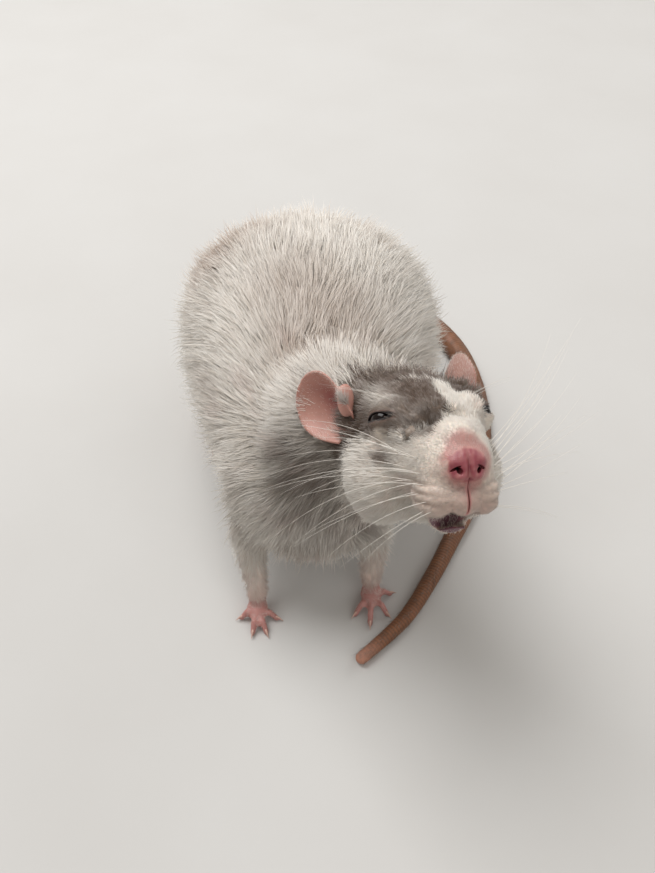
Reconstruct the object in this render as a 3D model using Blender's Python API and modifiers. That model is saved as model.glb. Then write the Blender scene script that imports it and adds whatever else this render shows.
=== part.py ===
"""A pet rat at life size, crouched with its forequarters up, its head raised and turned to its left.

The rat faces -Y with +Z up, and its left side is +X. It is modelled whole, as one blended form
out to the tips of its coat, and thin cuts then part it into head, muzzle, neck, torso and legs.
Ears, eyes, paws, feet and tail are made on their own and set on it. It is built round the point
on the floor midway between the forepaws, and moved at the end so that the origin lies on the
floor under the centre of its box.
"""

import math

import bmesh
import bpy
from mathutils import Matrix, Vector

MM = 0.001

# What two touching nodes keep between them, and how deep the floor cuts a rounded sole or tail
GAP = 0.3 * MM
FLAT = 0.35 * MM

# How finely the flesh is made
FLESH_VOXEL = 0.6 * MM
HEAD_SMOOTHING = 5
BODY_SMOOTHING = 60
HEAD_RATIO = 0.027
BODY_RATIO = 0.0095
PAW_RATIO = 0.62
RING_SIDES = 36

# Pose of the head in degrees: turned to the rat's left, raised, and tilted right side up
HEAD_TURN = 14.5
HEAD_RAISE = 38.0
HEAD_TILT = 7.0
NOSE_TIP = Vector((34.0, -26.0, 95.4)) * MM

# Trunk: distance behind the forepaws, height of the axis, half width, reach above and below,
# and drift to the rat's right
TRUNK = (
    (-2.0, 36.0, 9.0, 9.0, 9.0, 0.0),
    (4.0, 38.0, 19.0, 18.0, 18.0, 0.0),
    (18.0, 41.0, 26.0, 27.0, 24.0, 0.0),
    (36.0, 43.0, 33.0, 33.0, 29.0, 0.5),
    (56.0, 44.0, 38.5, 37.0, 34.0, 1.2),
    (76.0, 44.0, 42.5, 39.5, 36.0, 2.0),
    (94.0, 41.5, 42.0, 37.5, 35.0, 2.6),
    (110.0, 37.0, 36.5, 32.0, 31.5, 2.6),
    (122.0, 31.0, 26.5, 22.0, 25.0, 2.6),
    (129.0, 26.0, 11.0, 10.0, 11.0, 2.6),
)
TRUNK_SQUARENESS = 2.05

# Head in its own frame: distance behind the nose tip, half width, top, bottom
HEAD = (
    (1.0, 2.4, 1.8, -3.4),
    (2.4, 4.8, 3.8, -5.6),
    (5.0, 7.2, 5.8, -9.0),
    (8.5, 9.0, 7.6, -12.0),
    (13.0, 10.2, 9.4, -14.4),
    (20.0, 11.8, 12.0, -17.0),
    (28.0, 14.4, 14.8, -19.4),
    (37.0, 17.6, 17.0, -21.2),
    (46.0, 19.6, 17.6, -22.0),
    (54.0, 19.8, 15.8, -21.0),
    (62.0, 17.4, 11.4, -18.0),
    (67.0, 9.0, 4.0, -9.0),
)
HEAD_SQUARENESS = 2.1
JAW_NARROWING = 0.22

# Soft forms of the face in the head's frame: side, back and height of the middle, three radii
FACE_PAIRS = (
    ("pad", (5.0, 9.8, -7.4), (5.0, 7.4, 5.8)),
    ("cheek", (10.5, 34.0, -8.0), (9.5, 14.0, 12.0)),
    ("brow", (9.0, 27.0, 8.8), (4.4, 7.6, 4.4)),
    ("temple", (13.0, 43.0, 8.5), (6.0, 7.0, 6.5)),
)
FACE_MIDDLE = (
    ("nose_pad", (0.0, 2.9, -0.6), (4.5, 3.0, 4.4)),
    ("bridge", (0.0, 13.0, 4.4), (6.4, 10.0, 5.0)),
    ("chin", (0.0, 16.0, -14.2), (5.0, 7.6, 4.4)),
)
MUZZLE_CUT = 19.0 * MM
NAPE = 51.0 * MM
NAPE_FACING = Vector((0.0, 1.0, 0.1))

# Nostrils, the cleft under them, and the mouth: middle, radii and slope
NOSTRIL = ((2.9, 0.2, -0.7), (0.9, 2.2, 1.25), 34.0)
CLEFT = ((0.0, 0.4, -7.6), (0.32, 2.4, 4.4))
MOUTH = ((0.0, 9.0, -13.4), (5.4, 6.4, 1.5), -32.0)

# Eyes and lids
EYE_CENTRE = Vector((11.4, 25.8, 7.0)) * MM
EYE_RADIUS = 3.5 * MM
LID_THICKNESS = 0.75 * MM
EYE_SLIT = Vector((3.3, 3.4, 1.3)) * MM
EYE_OUTWARD = Vector((0.74, -0.52, 0.42))
EYE_SLOPE = -14.0

# Ears: an oval shell with a cup, the place of its root to the side, and its lean out, lean back and
# turn in degrees. The curl across it, in radians, opens from root to tip.
EAR_ROOT = {"right": (18.1, 41.5, 5.7), "left": (14.0, 46.5, 5.5)}
EAR_LENGTH = 18.7 * MM
EAR_HALF_WIDTH = 8.4 * MM
EAR_STEM_HALF_WIDTH = 4.6 * MM
EAR_THICKNESS = 0.9 * MM
EAR_CUP = 3.0 * MM
EAR_WIDEST = 0.56
EAR_SINK = 0.16
EAR_CURL_AT_ROOT = 0.88
EAR_CURL_LOST = 0.86
EAR_CURL_LEAST = 0.2
EAR_LEAN = {"right": (35.5, 43.5, 67.6), "left": (6.4, 19.7, 95.2)}

# Whiskers: height on the pad, rise in degrees, how many in the row, and length in mm
WHISKER_ROOT_RADIUS = 0.3 * MM
WHISKER_TIP_RADIUS = 0.12 * MM
WHISKER_SIDES = 3
WHISKER_STEPS = 4
WHISKER_ROWS = (
    (-3.2, 30.0, 2, 34.0),
    (-5.6, 12.0, 3, 42.0),
    (-8.2, -8.0, 3, 40.0),
    (-10.6, -28.0, 2, 30.0),
)
WHISKER_BEND = Vector((0.0, 0.16, -0.10))
WHISKER_SWEEP = {"right": 26.0, "left": 18.0}
WHISKER_FAN = 6.0

# Legs: places of the forepaws, wrists and hind feet, and where the toes end on the floor
FOREPAW = {"right": Vector((-17.6, -2.0, 0.0)) * MM, "left": Vector((17.6, 3.2, 0.0)) * MM}
WRIST_HEIGHT = 7.6 * MM
WRIST_RADIUS = 3.1 * MM
FORE_TOES = {
    "right": ((-23.2, -5.8), (-18.8, -11.6), (-14.2, -11.4), (-10.6, -6.0)),
    "left": ((24.6, 3.4), (23.0, -5.0), (17.0, -8.6), (12.0, -5.0)),
}
TOE_RADIUS = 1.05 * MM
CLAW_LENGTH = 1.9 * MM
HEEL = Vector((31.0, 100.0, 5.0)) * MM
HIND_SOLE = Vector((33.5, 76.0, 2.6)) * MM
HIND_TOES = ((-6.2, 69.0), (-3.4, 61.5), (0.2, 59.5), (3.8, 61.5), (6.4, 70.0))

# Tail: points of its middle line, which lies on the floor as high as it is thick
TAIL_ROUTE = (
    (-3.6, 116.0, 20.0),
    (-1.0, 131.0, 12.0),
    (8.0, 141.0, 5.6),
    (24.0, 144.5, 4.4),
    (42.0, 136.0, 4.1),
    (55.0, 117.0, 3.9),
    (60.5, 93.0, 3.6),
    (60.0, 67.0, 3.3),
    (54.0, 42.0, 3.0),
    (43.6, 20.6, 2.7),
    (36.4, 7.1, 2.5),
    (27.0, -7.3, 2.2),
    (12.6, -21.0, 1.8),
)
TAIL_STEPS = 3
TAIL_SIDES = 12
TAIL_LENGTHS = 4
TAIL_ROOT_RADIUS = 5.4 * MM

# Colours of the plain solids: red, green, blue and roughness
COLOURS = {
    "coat_white": (0.72, 0.66, 0.58, 0.85),
    "coat_grey": (0.25, 0.21, 0.18, 0.85),
    "skin_pink": (0.62, 0.31, 0.28, 0.6),
    "tail_skin": (0.30, 0.17, 0.12, 0.7),
    "eye_black": (0.01, 0.008, 0.008, 0.08),
}


def clear_scene():
    """Empty the scene and make one collection for the nodes and one for helpers."""
    for old in list(bpy.data.objects):
        bpy.data.objects.remove(old, do_unlink=True)
    for name in ("rat", "rat_tools"):
        made = bpy.data.collections.new(name)
        bpy.context.scene.collection.children.link(made)
        made.hide_render = name == "rat_tools"


def material(name):
    """A Principled material of one of the rat's colours."""
    found = bpy.data.materials.get(name)
    if found:
        return found
    red, green, blue, roughness = COLOURS[name]
    made = bpy.data.materials.new(name)
    made.use_nodes = True
    shader = made.node_tree.nodes["Principled BSDF"]
    shader.inputs["Base Color"].default_value = (red, green, blue, 1.0)
    shader.inputs["Roughness"].default_value = roughness
    shader.inputs["Metallic"].default_value = 0.0
    made.diffuse_color = (red, green, blue, 1.0)
    return made


def add_object(name, mesh, colour=None):
    """An object for a mesh: a node if it has a colour, else a helper."""
    obj = bpy.data.objects.new(name, mesh)
    home = "rat" if colour else "rat_tools"
    bpy.data.collections[home].objects.link(obj)
    if colour:
        mesh.materials.clear()
        mesh.materials.append(material(colour))
        mesh.shade_smooth()
        mesh.set_sharp_from_angle(angle=math.radians(50))
    else:
        obj.hide_render = True
        obj.display_type = "WIRE"
    return obj


def object_from_bmesh(name, shape, colour=None):
    """Write a bmesh into a new object and free it."""
    mesh = bpy.data.meshes.new(name)
    shape.to_mesh(mesh)
    shape.free()
    return add_object(name, mesh, colour)


def bake(obj):
    """Apply an object's modifiers and place to its mesh."""
    graph = bpy.context.evaluated_depsgraph_get()
    graph.update()
    mesh = bpy.data.meshes.new_from_object(obj.evaluated_get(graph))
    mesh.transform(obj.matrix_world)
    obj.modifiers.clear()
    obj.matrix_world = Matrix.Identity(4)
    obj.data = mesh
    return obj


def smooth_rows(rows, steps):
    """Rows of numbers, with rows of a smooth curve put between them."""
    out = []
    for i in range(len(rows) - 1):
        before = rows[max(i - 1, 0)]
        after = rows[min(i + 2, len(rows) - 1)]
        for k in range(steps):
            t = k / steps
            out.append(tuple(
                0.5 * (2 * b + (c - a) * t + (2 * a - 5 * b + 4 * c - d) * t**2
                       + (3 * b - a - 3 * c + d) * t**3)
                for a, b, c, d in zip(before, rows[i], rows[i + 1], after)
            ))
    out.append(tuple(rows[-1]))
    return out


def oval_ring(centre, half_width, up, down, squareness, narrowing=0.0):
    """Points of an egg-shaped ring in the plane of constant Y."""
    power = 2.0 / squareness
    ring = []
    for i in range(RING_SIDES):
        angle = 2 * math.pi * i / RING_SIDES
        across = math.copysign(abs(math.cos(angle)) ** power, math.cos(angle))
        rise = math.copysign(abs(math.sin(angle)) ** power, math.sin(angle))
        width = half_width * (1 - narrowing * max(-rise, 0.0))
        ring.append(centre + Vector((across * width, 0.0, rise * (up if rise > 0 else down))))
    return ring


def loft(name, rings):
    """A closed skin through rings of the same count, with both ends fanned shut."""
    shape = bmesh.new()
    rows = [[shape.verts.new(p) for p in ring] for ring in rings]
    for first, second in zip(rows, rows[1:]):
        for i in range(len(first)):
            j = (i + 1) % len(first)
            shape.faces.new((first[i], first[j], second[j], second[i]))
    for ring, points in ((rings[0], rows[0]), (rings[-1], rows[-1])):
        middle = shape.verts.new(sum(ring, Vector()) / len(ring))
        for i in range(len(points)):
            shape.faces.new((points[i], points[(i + 1) % len(points)], middle))
    bmesh.ops.triangulate(shape, faces=shape.faces)
    bmesh.ops.recalc_face_normals(shape, faces=shape.faces)
    return object_from_bmesh(name, shape)


def blob(name, centre, radii, turn=(0.0, 0.0, 0.0), sides=24):
    """An ellipsoid, turned by degrees about X, then Y, then Z."""
    shape = bmesh.new()
    bmesh.ops.create_uvsphere(shape, u_segments=sides, v_segments=2 * sides // 3, radius=1.0)
    turned = Matrix.Rotation(math.radians(turn[2]), 4, "Z")
    turned @= Matrix.Rotation(math.radians(turn[1]), 4, "Y")
    turned @= Matrix.Rotation(math.radians(turn[0]), 4, "X")
    place = Matrix.Translation(Vector(centre)) @ turned @ Matrix.Diagonal((*radii, 1.0))
    bmesh.ops.transform(shape, matrix=place, verts=shape.verts)
    bmesh.ops.triangulate(shape, faces=shape.faces)
    return object_from_bmesh(name, shape)


def tube(name, points, radii, sides):
    """A tapered tube through points, with rings square to its run and closed ends."""
    rings = []
    side_axis = None
    for i, point in enumerate(points):
        ahead = (points[min(i + 1, len(points) - 1)] - points[max(i - 1, 0)]).normalized()
        if side_axis is None:
            side_axis = ahead.orthogonal()
        side_axis = (side_axis - ahead * side_axis.dot(ahead)).normalized()
        other = ahead.cross(side_axis)
        ring = []
        for k in range(sides):
            angle = 2 * math.pi * k / sides
            ring.append(point + radii[i] * (math.cos(angle) * side_axis + math.sin(angle) * other))
        rings.append(ring)
    return loft(name, rings)


def capsule(name, points, radii, sides=10):
    """A tube whose far end is rounded."""
    heading = (points[-1] - points[-2]).normalized()
    tip = radii[-1]
    ends = [points[-1] + heading * (0.55 * tip), points[-1] + heading * (0.9 * tip)]
    return tube(name, [*points, *ends], [*radii, 0.84 * tip, 0.45 * tip], sides)


def boolean(obj, others, operation):
    """Apply one Boolean of closed objects to an object, and remove them."""
    group = bpy.data.collections.new("operands")
    bpy.context.scene.collection.children.link(group)
    for other in others:
        group.objects.link(other)
    modifier = obj.modifiers.new(operation.lower(), "BOOLEAN")
    modifier.operand_type = "COLLECTION"
    modifier.collection = group
    modifier.operation = operation
    modifier.solver = "MANIFOLD"
    bake(obj)
    for other in list(group.objects):
        bpy.data.objects.remove(other, do_unlink=True)
    bpy.data.collections.remove(group)
    return obj


def loose_bodies(mesh):
    """Each separate closed surface of a mesh as its own bmesh, the largest first."""
    whole = bmesh.new()
    whole.from_mesh(mesh)
    owner = {}
    counts = []
    for seed in whole.verts:
        if seed in owner:
            continue
        owner[seed] = len(counts)
        counts.append(1)
        front = [seed]
        while front:
            vert = front.pop()
            for link in vert.link_edges:
                other = link.other_vert(vert)
                if other not in owner:
                    owner[other] = owner[seed]
                    counts[-1] += 1
                    front.append(other)
    out = []
    for number in sorted(range(len(counts)), key=lambda n: -counts[n]):
        piece = whole.copy()
        piece.verts.ensure_lookup_table()
        away = [piece.verts[v.index] for v, n in owner.items() if n != number]
        bmesh.ops.delete(piece, geom=away, context="VERTS")
        out.append(piece)
    whole.free()
    return out


def keep_largest(obj):
    """Drop every loose scrap of an object's mesh."""
    pieces = loose_bodies(obj.data)
    pieces[0].to_mesh(obj.data)
    for piece in pieces:
        piece.free()
    return obj


def grown(obj, amount):
    """A helper copy of a closed object, swollen along its normals."""
    shape = bmesh.new()
    shape.from_mesh(obj.data)
    shape.normal_update()
    shifts = [v.normal * amount for v in shape.verts]
    for vert, shift in zip(shape.verts, shifts):
        vert.co += shift
    return object_from_bmesh(obj.name + "_grown", shape)


def floor_cut(obj):
    """Cut off what lies under the floor, which leaves small flats to stand on."""
    shape = bmesh.new()
    bmesh.ops.create_cube(shape, size=1.0)
    place = Matrix.Translation((0.0, 0.05, -0.1)) @ Matrix.Diagonal((0.4, 0.5, 0.2, 1.0))
    bmesh.ops.transform(shape, matrix=place, verts=shape.verts)
    return boolean(obj, [object_from_bmesh("floor_block", shape)], "DIFFERENCE")


def slab(name, centre, normal, reach, thickness=GAP):
    """A square cutter with its middle at a point."""
    shape = bmesh.new()
    bmesh.ops.create_cube(shape, size=1.0)
    turn = Vector(normal).to_track_quat("Z", "Y").to_matrix().to_4x4()
    place = Matrix.Translation(centre) @ turn @ Matrix.Diagonal((2 * reach, 2 * reach, thickness, 1.0))
    bmesh.ops.transform(shape, matrix=place, verts=shape.verts)
    return object_from_bmesh(name, shape)


def shell(name, centre, radii, turn):
    """A thin ellipsoidal cutter."""
    outer = blob(name, centre, radii, turn, 22)
    inner = blob(name + "_inside", centre, Vector(radii) - Vector((GAP, GAP, GAP)), turn, 22)
    return boolean(outer, [inner], "DIFFERENCE")


def head_frame():
    """From the head's frame (nose tip at 0, forward -Y, up +Z) to the rat's."""
    turn = Matrix.Rotation(math.radians(HEAD_TURN), 4, "Z")
    raise_up = Matrix.Rotation(math.radians(-HEAD_RAISE), 4, "X")
    tilt = Matrix.Rotation(math.radians(HEAD_TILT), 4, "Y")
    return Matrix.Translation(NOSE_TIP) @ turn @ raise_up @ tilt


def in_head(side, back, up):
    """A point of the head's frame given in millimetres, in the rat's frame."""
    return head_frame() @ (Vector((side, back, up)) * MM)


def trunk_form():
    """The trunk as rings from the breast to the rump."""
    rings = []
    for y, height, width, up, down, drift in smooth_rows(TRUNK, 4):
        centre = Vector((-drift, y, height)) * MM
        rings.append(oval_ring(centre, width * MM, up * MM, down * MM, TRUNK_SQUARENESS))
    return loft("trunk_form", rings)


def head_form():
    """The skull and muzzle as rings from the nose back."""
    rings = []
    for back, width, top, bottom in smooth_rows(HEAD, 4):
        centre = Vector((0.0, back, 0.5 * (top + bottom))) * MM
        reach = 0.5 * (top - bottom) * MM
        rings.append(oval_ring(centre, width * MM, reach, reach, HEAD_SQUARENESS, JAW_NARROWING))
    made = loft("head_form", rings)
    made.data.transform(head_frame())
    return made


def face_forms():
    """Whisker pads, cheeks, brows, nose pad and chin."""
    made = [blob(name, Vector(c) * MM, Vector(r) * MM) for name, c, r in FACE_MIDDLE]
    for name, (side, back, up), radii in FACE_PAIRS:
        for sign in (-1, 1):
            made.append(blob(name, Vector((sign * side, back, up)) * MM, Vector(radii) * MM))
    for obj in made:
        obj.data.transform(head_frame())
    return made


def neck_form():
    """A thick tube from inside the shoulders into the back of the head."""
    points = [Vector((1.0, 34.0, 44.0)) * MM, Vector((7.0, 22.0, 56.0)) * MM,
              in_head(0.0, 60.0, -5.0), in_head(0.0, 44.0, -3.0)]
    return tube("neck_form", points, [27 * MM, 25 * MM, 21 * MM, 17 * MM], 32)


def eye_place(sign):
    """The middle of an eye and the way it looks, in the head's frame."""
    centre = Vector((sign * EYE_CENTRE.x, EYE_CENTRE.y, EYE_CENTRE.z))
    outward = Vector((sign * EYE_OUTWARD.x, EYE_OUTWARD.y, EYE_OUTWARD.z)).normalized()
    return centre, outward


def lid_forms():
    """A swelling of lid round each eye."""
    made = []
    for sign in (-1, 1):
        radius = EYE_RADIUS + LID_THICKNESS
        lid = blob("lid", eye_place(sign)[0], (radius, radius, radius), sides=24)
        lid.data.transform(head_frame())
        made.append(lid)
    return made


def leg_forms():
    """Shoulders and forearms as far as the wrists, and the thighs."""
    made = []
    for name, side in (("right", -1), ("left", 1)):
        shoulder = Vector((16.5 * side, 19.0, 40.0)) * MM
        elbow = Vector((18.0 * side - 1.0, 14.0, 26.0)) * MM
        wrist = FOREPAW[name] + Vector((0.0, 2.4 * MM, WRIST_HEIGHT))
        middle = elbow.lerp(wrist, 0.5) + Vector((0.8 * side, -0.6, 0.0)) * MM
        below = wrist + Vector((0.0, -0.6, -4.0)) * MM
        above = elbow + Vector((-2.0 * side, 3.0, 10.0)) * MM
        made.append(blob("shoulder", shoulder, Vector((10.5, 14.0, 17.0)) * MM, (20, 0, 0)))
        made.append(tube("forearm", [above, elbow, middle, wrist, below],
                         [8.6 * MM, 7.2 * MM, 5.2 * MM, 4.0 * MM, 4.0 * MM], 20))
        thigh = Vector((27.5 * side - 2.0, 86.0, 29.0)) * MM
        made.append(blob("thigh", thigh, Vector((16.0, 27.0, 25.0)) * MM, (-18, 0, 0)))
    return made


def head_share(point):
    """How much a point belongs to the head: 1 at the nose, 0 from the nape back."""
    back = (head_frame().inverted() @ point).y / MM
    return max(0.0, min(1.0, (52.0 - back) / 14.0))


def flesh():
    """The whole animal but its feet, ears and tail, as one closed, blended surface."""
    forms = [trunk_form(), head_form(), neck_form(), *face_forms(), *lid_forms(), *leg_forms()]
    shape = bmesh.new()
    for form in forms:
        shape.from_mesh(form.data)
        bpy.data.objects.remove(form, do_unlink=True)
    whole = object_from_bmesh("flesh", shape)
    remesh = whole.modifiers.new("remesh", "REMESH")
    remesh.mode = "VOXEL"
    remesh.voxel_size = FLESH_VOXEL
    bake(whole)
    head = whole.vertex_groups.new(name="head")
    body = whole.vertex_groups.new(name="body")
    for vert in whole.data.vertices:
        share = head_share(vert.co)
        head.add([vert.index], share, "REPLACE")
        body.add([vert.index], 1.0 - share, "REPLACE")
    for group, iterations in (("head", HEAD_SMOOTHING), ("body", BODY_SMOOTHING)):
        smooth = whole.modifiers.new("smooth_" + group, "SMOOTH")
        smooth.factor = 0.5
        smooth.iterations = iterations
        smooth.vertex_group = group
    bake(whole)
    whole.vertex_groups.clear()
    return whole


def thinned(whole, name, ratio):
    """A copy of the flesh in fewer triangles."""
    copy = add_object(name, whole.data.copy())
    thin = copy.modifiers.new("thin", "DECIMATE")
    thin.ratio = ratio
    return bake(copy)


def face_cuts():
    """Nostrils, the cleft between them, the mouth, and the slit and socket of each eye."""
    made = []
    place, radii, slope = NOSTRIL
    for sign in (-1, 1):
        centre = Vector((sign * place[0], place[1], place[2])) * MM
        made.append(blob("nostril", centre, Vector(radii) * MM, (0, sign * slope, 0), 9))
    made.append(blob("cleft", Vector(CLEFT[0]) * MM, Vector(CLEFT[1]) * MM, sides=10))
    made.append(blob("mouth", Vector(MOUTH[0]) * MM, Vector(MOUTH[1]) * MM, (MOUTH[2], 0, 0), 14))
    for sign in (-1, 1):
        centre, outward = eye_place(sign)
        room = EYE_RADIUS + GAP
        made.append(blob("socket", centre, (room, room, room), sides=15))
        slit = blob("slit", (0, 0, 0), EYE_SLIT, sides=14)
        look = outward.to_track_quat("Y", "Z").to_matrix().to_4x4()
        slope = Matrix.Rotation(math.radians(sign * EYE_SLOPE), 4, "Y")
        slit.data.transform(Matrix.Translation(centre + outward * EYE_RADIUS) @ look @ slope)
        made.append(slit)
    for obj in made:
        obj.data.transform(head_frame())
    return made


def nape_block(sign):
    """A thick block in front of the nape (-1) or behind it (1), half a gap clear of it."""
    facing = head_frame().to_3x3() @ NAPE_FACING
    facing.normalize()
    middle = in_head(0.0, NAPE / MM, 0.0) + facing * (sign * (60 * MM - GAP / 2))
    return slab("nape_block", middle, facing, 120 * MM, 120 * MM)


def body_cuts():
    """The thin cutters that part the body."""
    cuts = [slab("collar", Vector((6.0, 22.0, 52.0)) * MM, Vector((-0.30, 0.60, -0.74)), 70 * MM)]
    for side in (-1, 1):
        shoulder = Vector((21.0 * side - 1.0, 12.0, 22.0)) * MM
        cuts.append(shell("shoulder_cut", shoulder, Vector((13.0, 17.0, 23.0)) * MM, (16, 0, 0)))
        hip = Vector((36.0 * side - 2.0, 86.0, 24.0)) * MM
        cuts.append(shell("hip", hip, Vector((15.0, 31.0, 29.0)) * MM, (-18, 0, 0)))
    return cuts


def trim_wrists(whole):
    """Cut the forelegs off square above the paws."""
    blocks = []
    reach = 12.0 * MM
    for paw in FOREPAW.values():
        blocks.append(slab("wrist", paw - Vector((0.0, 0.0, reach)), (0, 0, 1), 9 * MM,
                           2 * (WRIST_HEIGHT + reach + GAP / 2)))
    boolean(whole, blocks, "DIFFERENCE")
    return keep_largest(whole)


def toe(root, tip, radius):
    """A toe with a raised knuckle, and its claw."""
    across = Vector((tip.x - root.x, tip.y - root.y, 0.0))
    heading = across.normalized()
    start = root + across * 0.18
    knuckle = root + across * 0.58 + Vector((0.0, 0.0, 0.9)) * MM
    end = Vector((tip.x, tip.y, radius - FLAT)) - heading * radius
    bone = capsule("toe", [start, knuckle, end], [1.1 * radius, 0.98 * radius, 0.82 * radius], 7)
    claw_root = end + Vector((0.0, 0.0, 0.25)) * MM
    claw_tip = end + heading * CLAW_LENGTH
    arch = claw_root.lerp(claw_tip, 0.55) + Vector((0.0, 0.0, 0.2)) * MM
    claw = tube("claw", [claw_root, arch, claw_tip], [0.5 * MM, 0.4 * MM, 0.15 * MM], 4)
    return [bone, claw]


def finish_paw(name, forms):
    """Join a paw's forms, stand it on the floor and make it a node."""
    first = forms[0]
    boolean(first, forms[1:], "UNION")
    thin = first.modifiers.new("thin", "DECIMATE")
    thin.ratio = PAW_RATIO
    bake(first)
    floor_cut(first)
    keep_largest(first)
    node = add_object(name, first.data, "skin_pink")
    bpy.data.objects.remove(first, do_unlink=True)
    return node


def fore_paw(name):
    """Palm, wrist and four toes with claws, as one piece."""
    paw = FOREPAW[name]
    palm = paw + Vector((0.0, -1.0, 2.1)) * MM
    forms = [blob("palm", palm, Vector((3.4, 4.4, 2.4)) * MM, sides=12)]
    arm = [paw + Vector((0.0, 2.5, 9.5)) * MM, paw + Vector((0.0, 2.2, 5.5)) * MM,
           paw + Vector((0.0, 0.8, 2.2)) * MM]
    forms.append(tube("wrist", arm, [WRIST_RADIUS, WRIST_RADIUS, 2.4 * MM], 10))
    for x, y in FORE_TOES[name]:
        forms += toe(paw + Vector((0.0, -1.5, 2.0)) * MM, Vector((x, y, 0.0)) * MM, TOE_RADIUS)
    node = finish_paw("forepaw_" + name, forms)
    rise = 20.0 * MM
    top = paw + Vector((0.0, 0.0, WRIST_HEIGHT + rise))
    return boolean(node, [slab("wrist_top", top, (0, 0, 1), 9 * MM, 2 * rise + GAP)], "DIFFERENCE")


def hind_foot(name):
    """Heel, long sole and five toes with claws, as one piece."""
    side = -1 if name == "right" else 1
    heel = Vector((HEEL.x * side, HEEL.y, HEEL.z))
    sole = Vector((HIND_SOLE.x * side, HIND_SOLE.y, HIND_SOLE.z))
    hock = heel + Vector((-1.0 * side, -1.0, 4.0)) * MM
    middle = heel.lerp(sole, 0.5) + Vector((0.0, 0.0, -0.3)) * MM
    forms = [tube("sole", [hock, heel + Vector((0, -2.0, -1.4)) * MM, middle, sole],
                  [3.0 * MM, 3.9 * MM, 3.6 * MM, 3.0 * MM], 11)]
    forms.append(blob("ball", sole + Vector((0.0, -2.0, -0.3)) * MM, Vector((5.4, 6.4, 2.5)) * MM, sides=12))
    for x, y in HIND_TOES:
        tip = Vector((sole.x + side * x * MM, y * MM, 0.0))
        forms += toe(sole + Vector((0.4 * x * side, -1.0, -0.4)) * MM, tip, 1.2 * TOE_RADIUS)
    return finish_paw("hindfoot_" + name, forms)


def ear_point(along, across):
    """A point of the ear's sheet: along from root 0 to tip 1, across from -1 to 1."""
    if along > EAR_WIDEST:
        run = (along - EAR_WIDEST) / (1.0 - EAR_WIDEST)
        half = EAR_HALF_WIDTH * math.sqrt(max(1.0 - run * run, 0.0))
    else:
        growth = math.sin(along / EAR_WIDEST * math.pi / 2)
        half = EAR_STEM_HALF_WIDTH + (EAR_HALF_WIDTH - EAR_STEM_HALF_WIDTH) * growth
    half = max(half, 0.9 * MM)
    curl = max(EAR_CURL_AT_ROOT - EAR_CURL_LOST * along, EAR_CURL_LEAST)
    radius = half / math.sin(curl)
    angle = across * curl
    roll = radius * (1.0 - math.cos(angle))
    cup = EAR_CUP * math.sin(math.pi * along) * (1.0 - across * across)
    return Vector((radius * math.sin(angle), cup - roll, (along - EAR_SINK) * EAR_LENGTH))


def ear(name, carriers):
    """A cupped oval shell that stands on the side of the head, clear of what carries it."""
    sign = -1 if name == "right" else 1
    steps = 9
    shape = bmesh.new()
    grid = [[shape.verts.new(ear_point(i / steps, 2.0 * k / steps - 1.0)) for k in range(steps + 1)]
            for i in range(steps + 1)]
    for low, high in zip(grid, grid[1:]):
        for k in range(steps):
            shape.faces.new((low[k], low[k + 1], high[k + 1], high[k]))
    made = object_from_bmesh("ear_shell", shape)
    solid = made.modifiers.new("solidify", "SOLIDIFY")
    solid.thickness = EAR_THICKNESS
    solid.offset = 0.0
    solid.use_even_offset = True
    flat_sides = made.modifiers.new("flat_sides", "TRIANGULATE")
    flat_sides.quad_method = "FIXED"
    bake(made)
    out, back, turn = EAR_LEAN[name]
    lean = Matrix.Rotation(math.radians(-back), 4, "X") @ Matrix.Rotation(math.radians(sign * out), 4, "Y")
    face = Matrix.Rotation(math.radians(sign * turn), 4, "Z")
    side, behind, up = EAR_ROOT[name]
    root = Vector((sign * side, behind, up)) * MM
    made.data.transform(head_frame() @ Matrix.Translation(root) @ lean @ face)
    boolean(made, [grown(carrier, GAP) for carrier in carriers], "DIFFERENCE")
    keep_largest(made)
    node = add_object("ear_" + name, made.data, "skin_pink")
    bpy.data.objects.remove(made, do_unlink=True)
    return node


def eye(name):
    """The ball of one eye."""
    centre, _ = eye_place(-1 if name == "right" else 1)
    ball = blob("ball", centre, (EYE_RADIUS, EYE_RADIUS, EYE_RADIUS), sides=15)
    ball.data.transform(head_frame())
    node = add_object("eye_" + name, ball.data, "eye_black")
    bpy.data.objects.remove(ball, do_unlink=True)
    return node


def whisker(sign, up, rise, length, sweep, place):
    """One tapered, bent whisker, rooted in the pad, by its place in its row."""
    root = Vector((sign * (5.5 + 0.9 * place), 6.0 + 3.6 * place, up)) * MM
    turn = math.radians(sweep + WHISKER_FAN * place)
    lift = math.radians(rise)
    heading = Vector((sign * math.cos(turn) * math.cos(lift), math.sin(turn) * math.cos(lift),
                      math.sin(lift)))
    reach = length * (0.8 + 0.1 * place) * MM
    points = []
    radii = []
    for k in range(WHISKER_STEPS + 1):
        t = k / WHISKER_STEPS
        points.append(root + heading * (reach * t) + WHISKER_BEND * (length * MM * t * t))
        radii.append(WHISKER_ROOT_RADIUS + (WHISKER_TIP_RADIUS - WHISKER_ROOT_RADIUS) * t)
    return tube("whisker", points, radii, WHISKER_SIDES)


def whiskers():
    """The whiskers of both pads, row by row."""
    made = []
    for name, sign in (("right", -1), ("left", 1)):
        for up, rise, count, length in WHISKER_ROWS:
            for place in range(count):
                made.append(whisker(sign, up, rise, length, WHISKER_SWEEP[name], place))
    for obj in made:
        obj.data.transform(head_frame())
    return made


def tail_line():
    """Smooth points along the tail's route."""
    return [Vector(p) * MM for p in smooth_rows(TAIL_ROUTE, TAIL_STEPS)]


def tail_tube(grow=0.0):
    """The whole tail as one tube with a blunt tip."""
    points = tail_line()
    radii = [min(point.z + FLAT, TAIL_ROOT_RADIUS) + grow for point in points]
    return capsule("tail_tube", points, radii, TAIL_SIDES)


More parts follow.
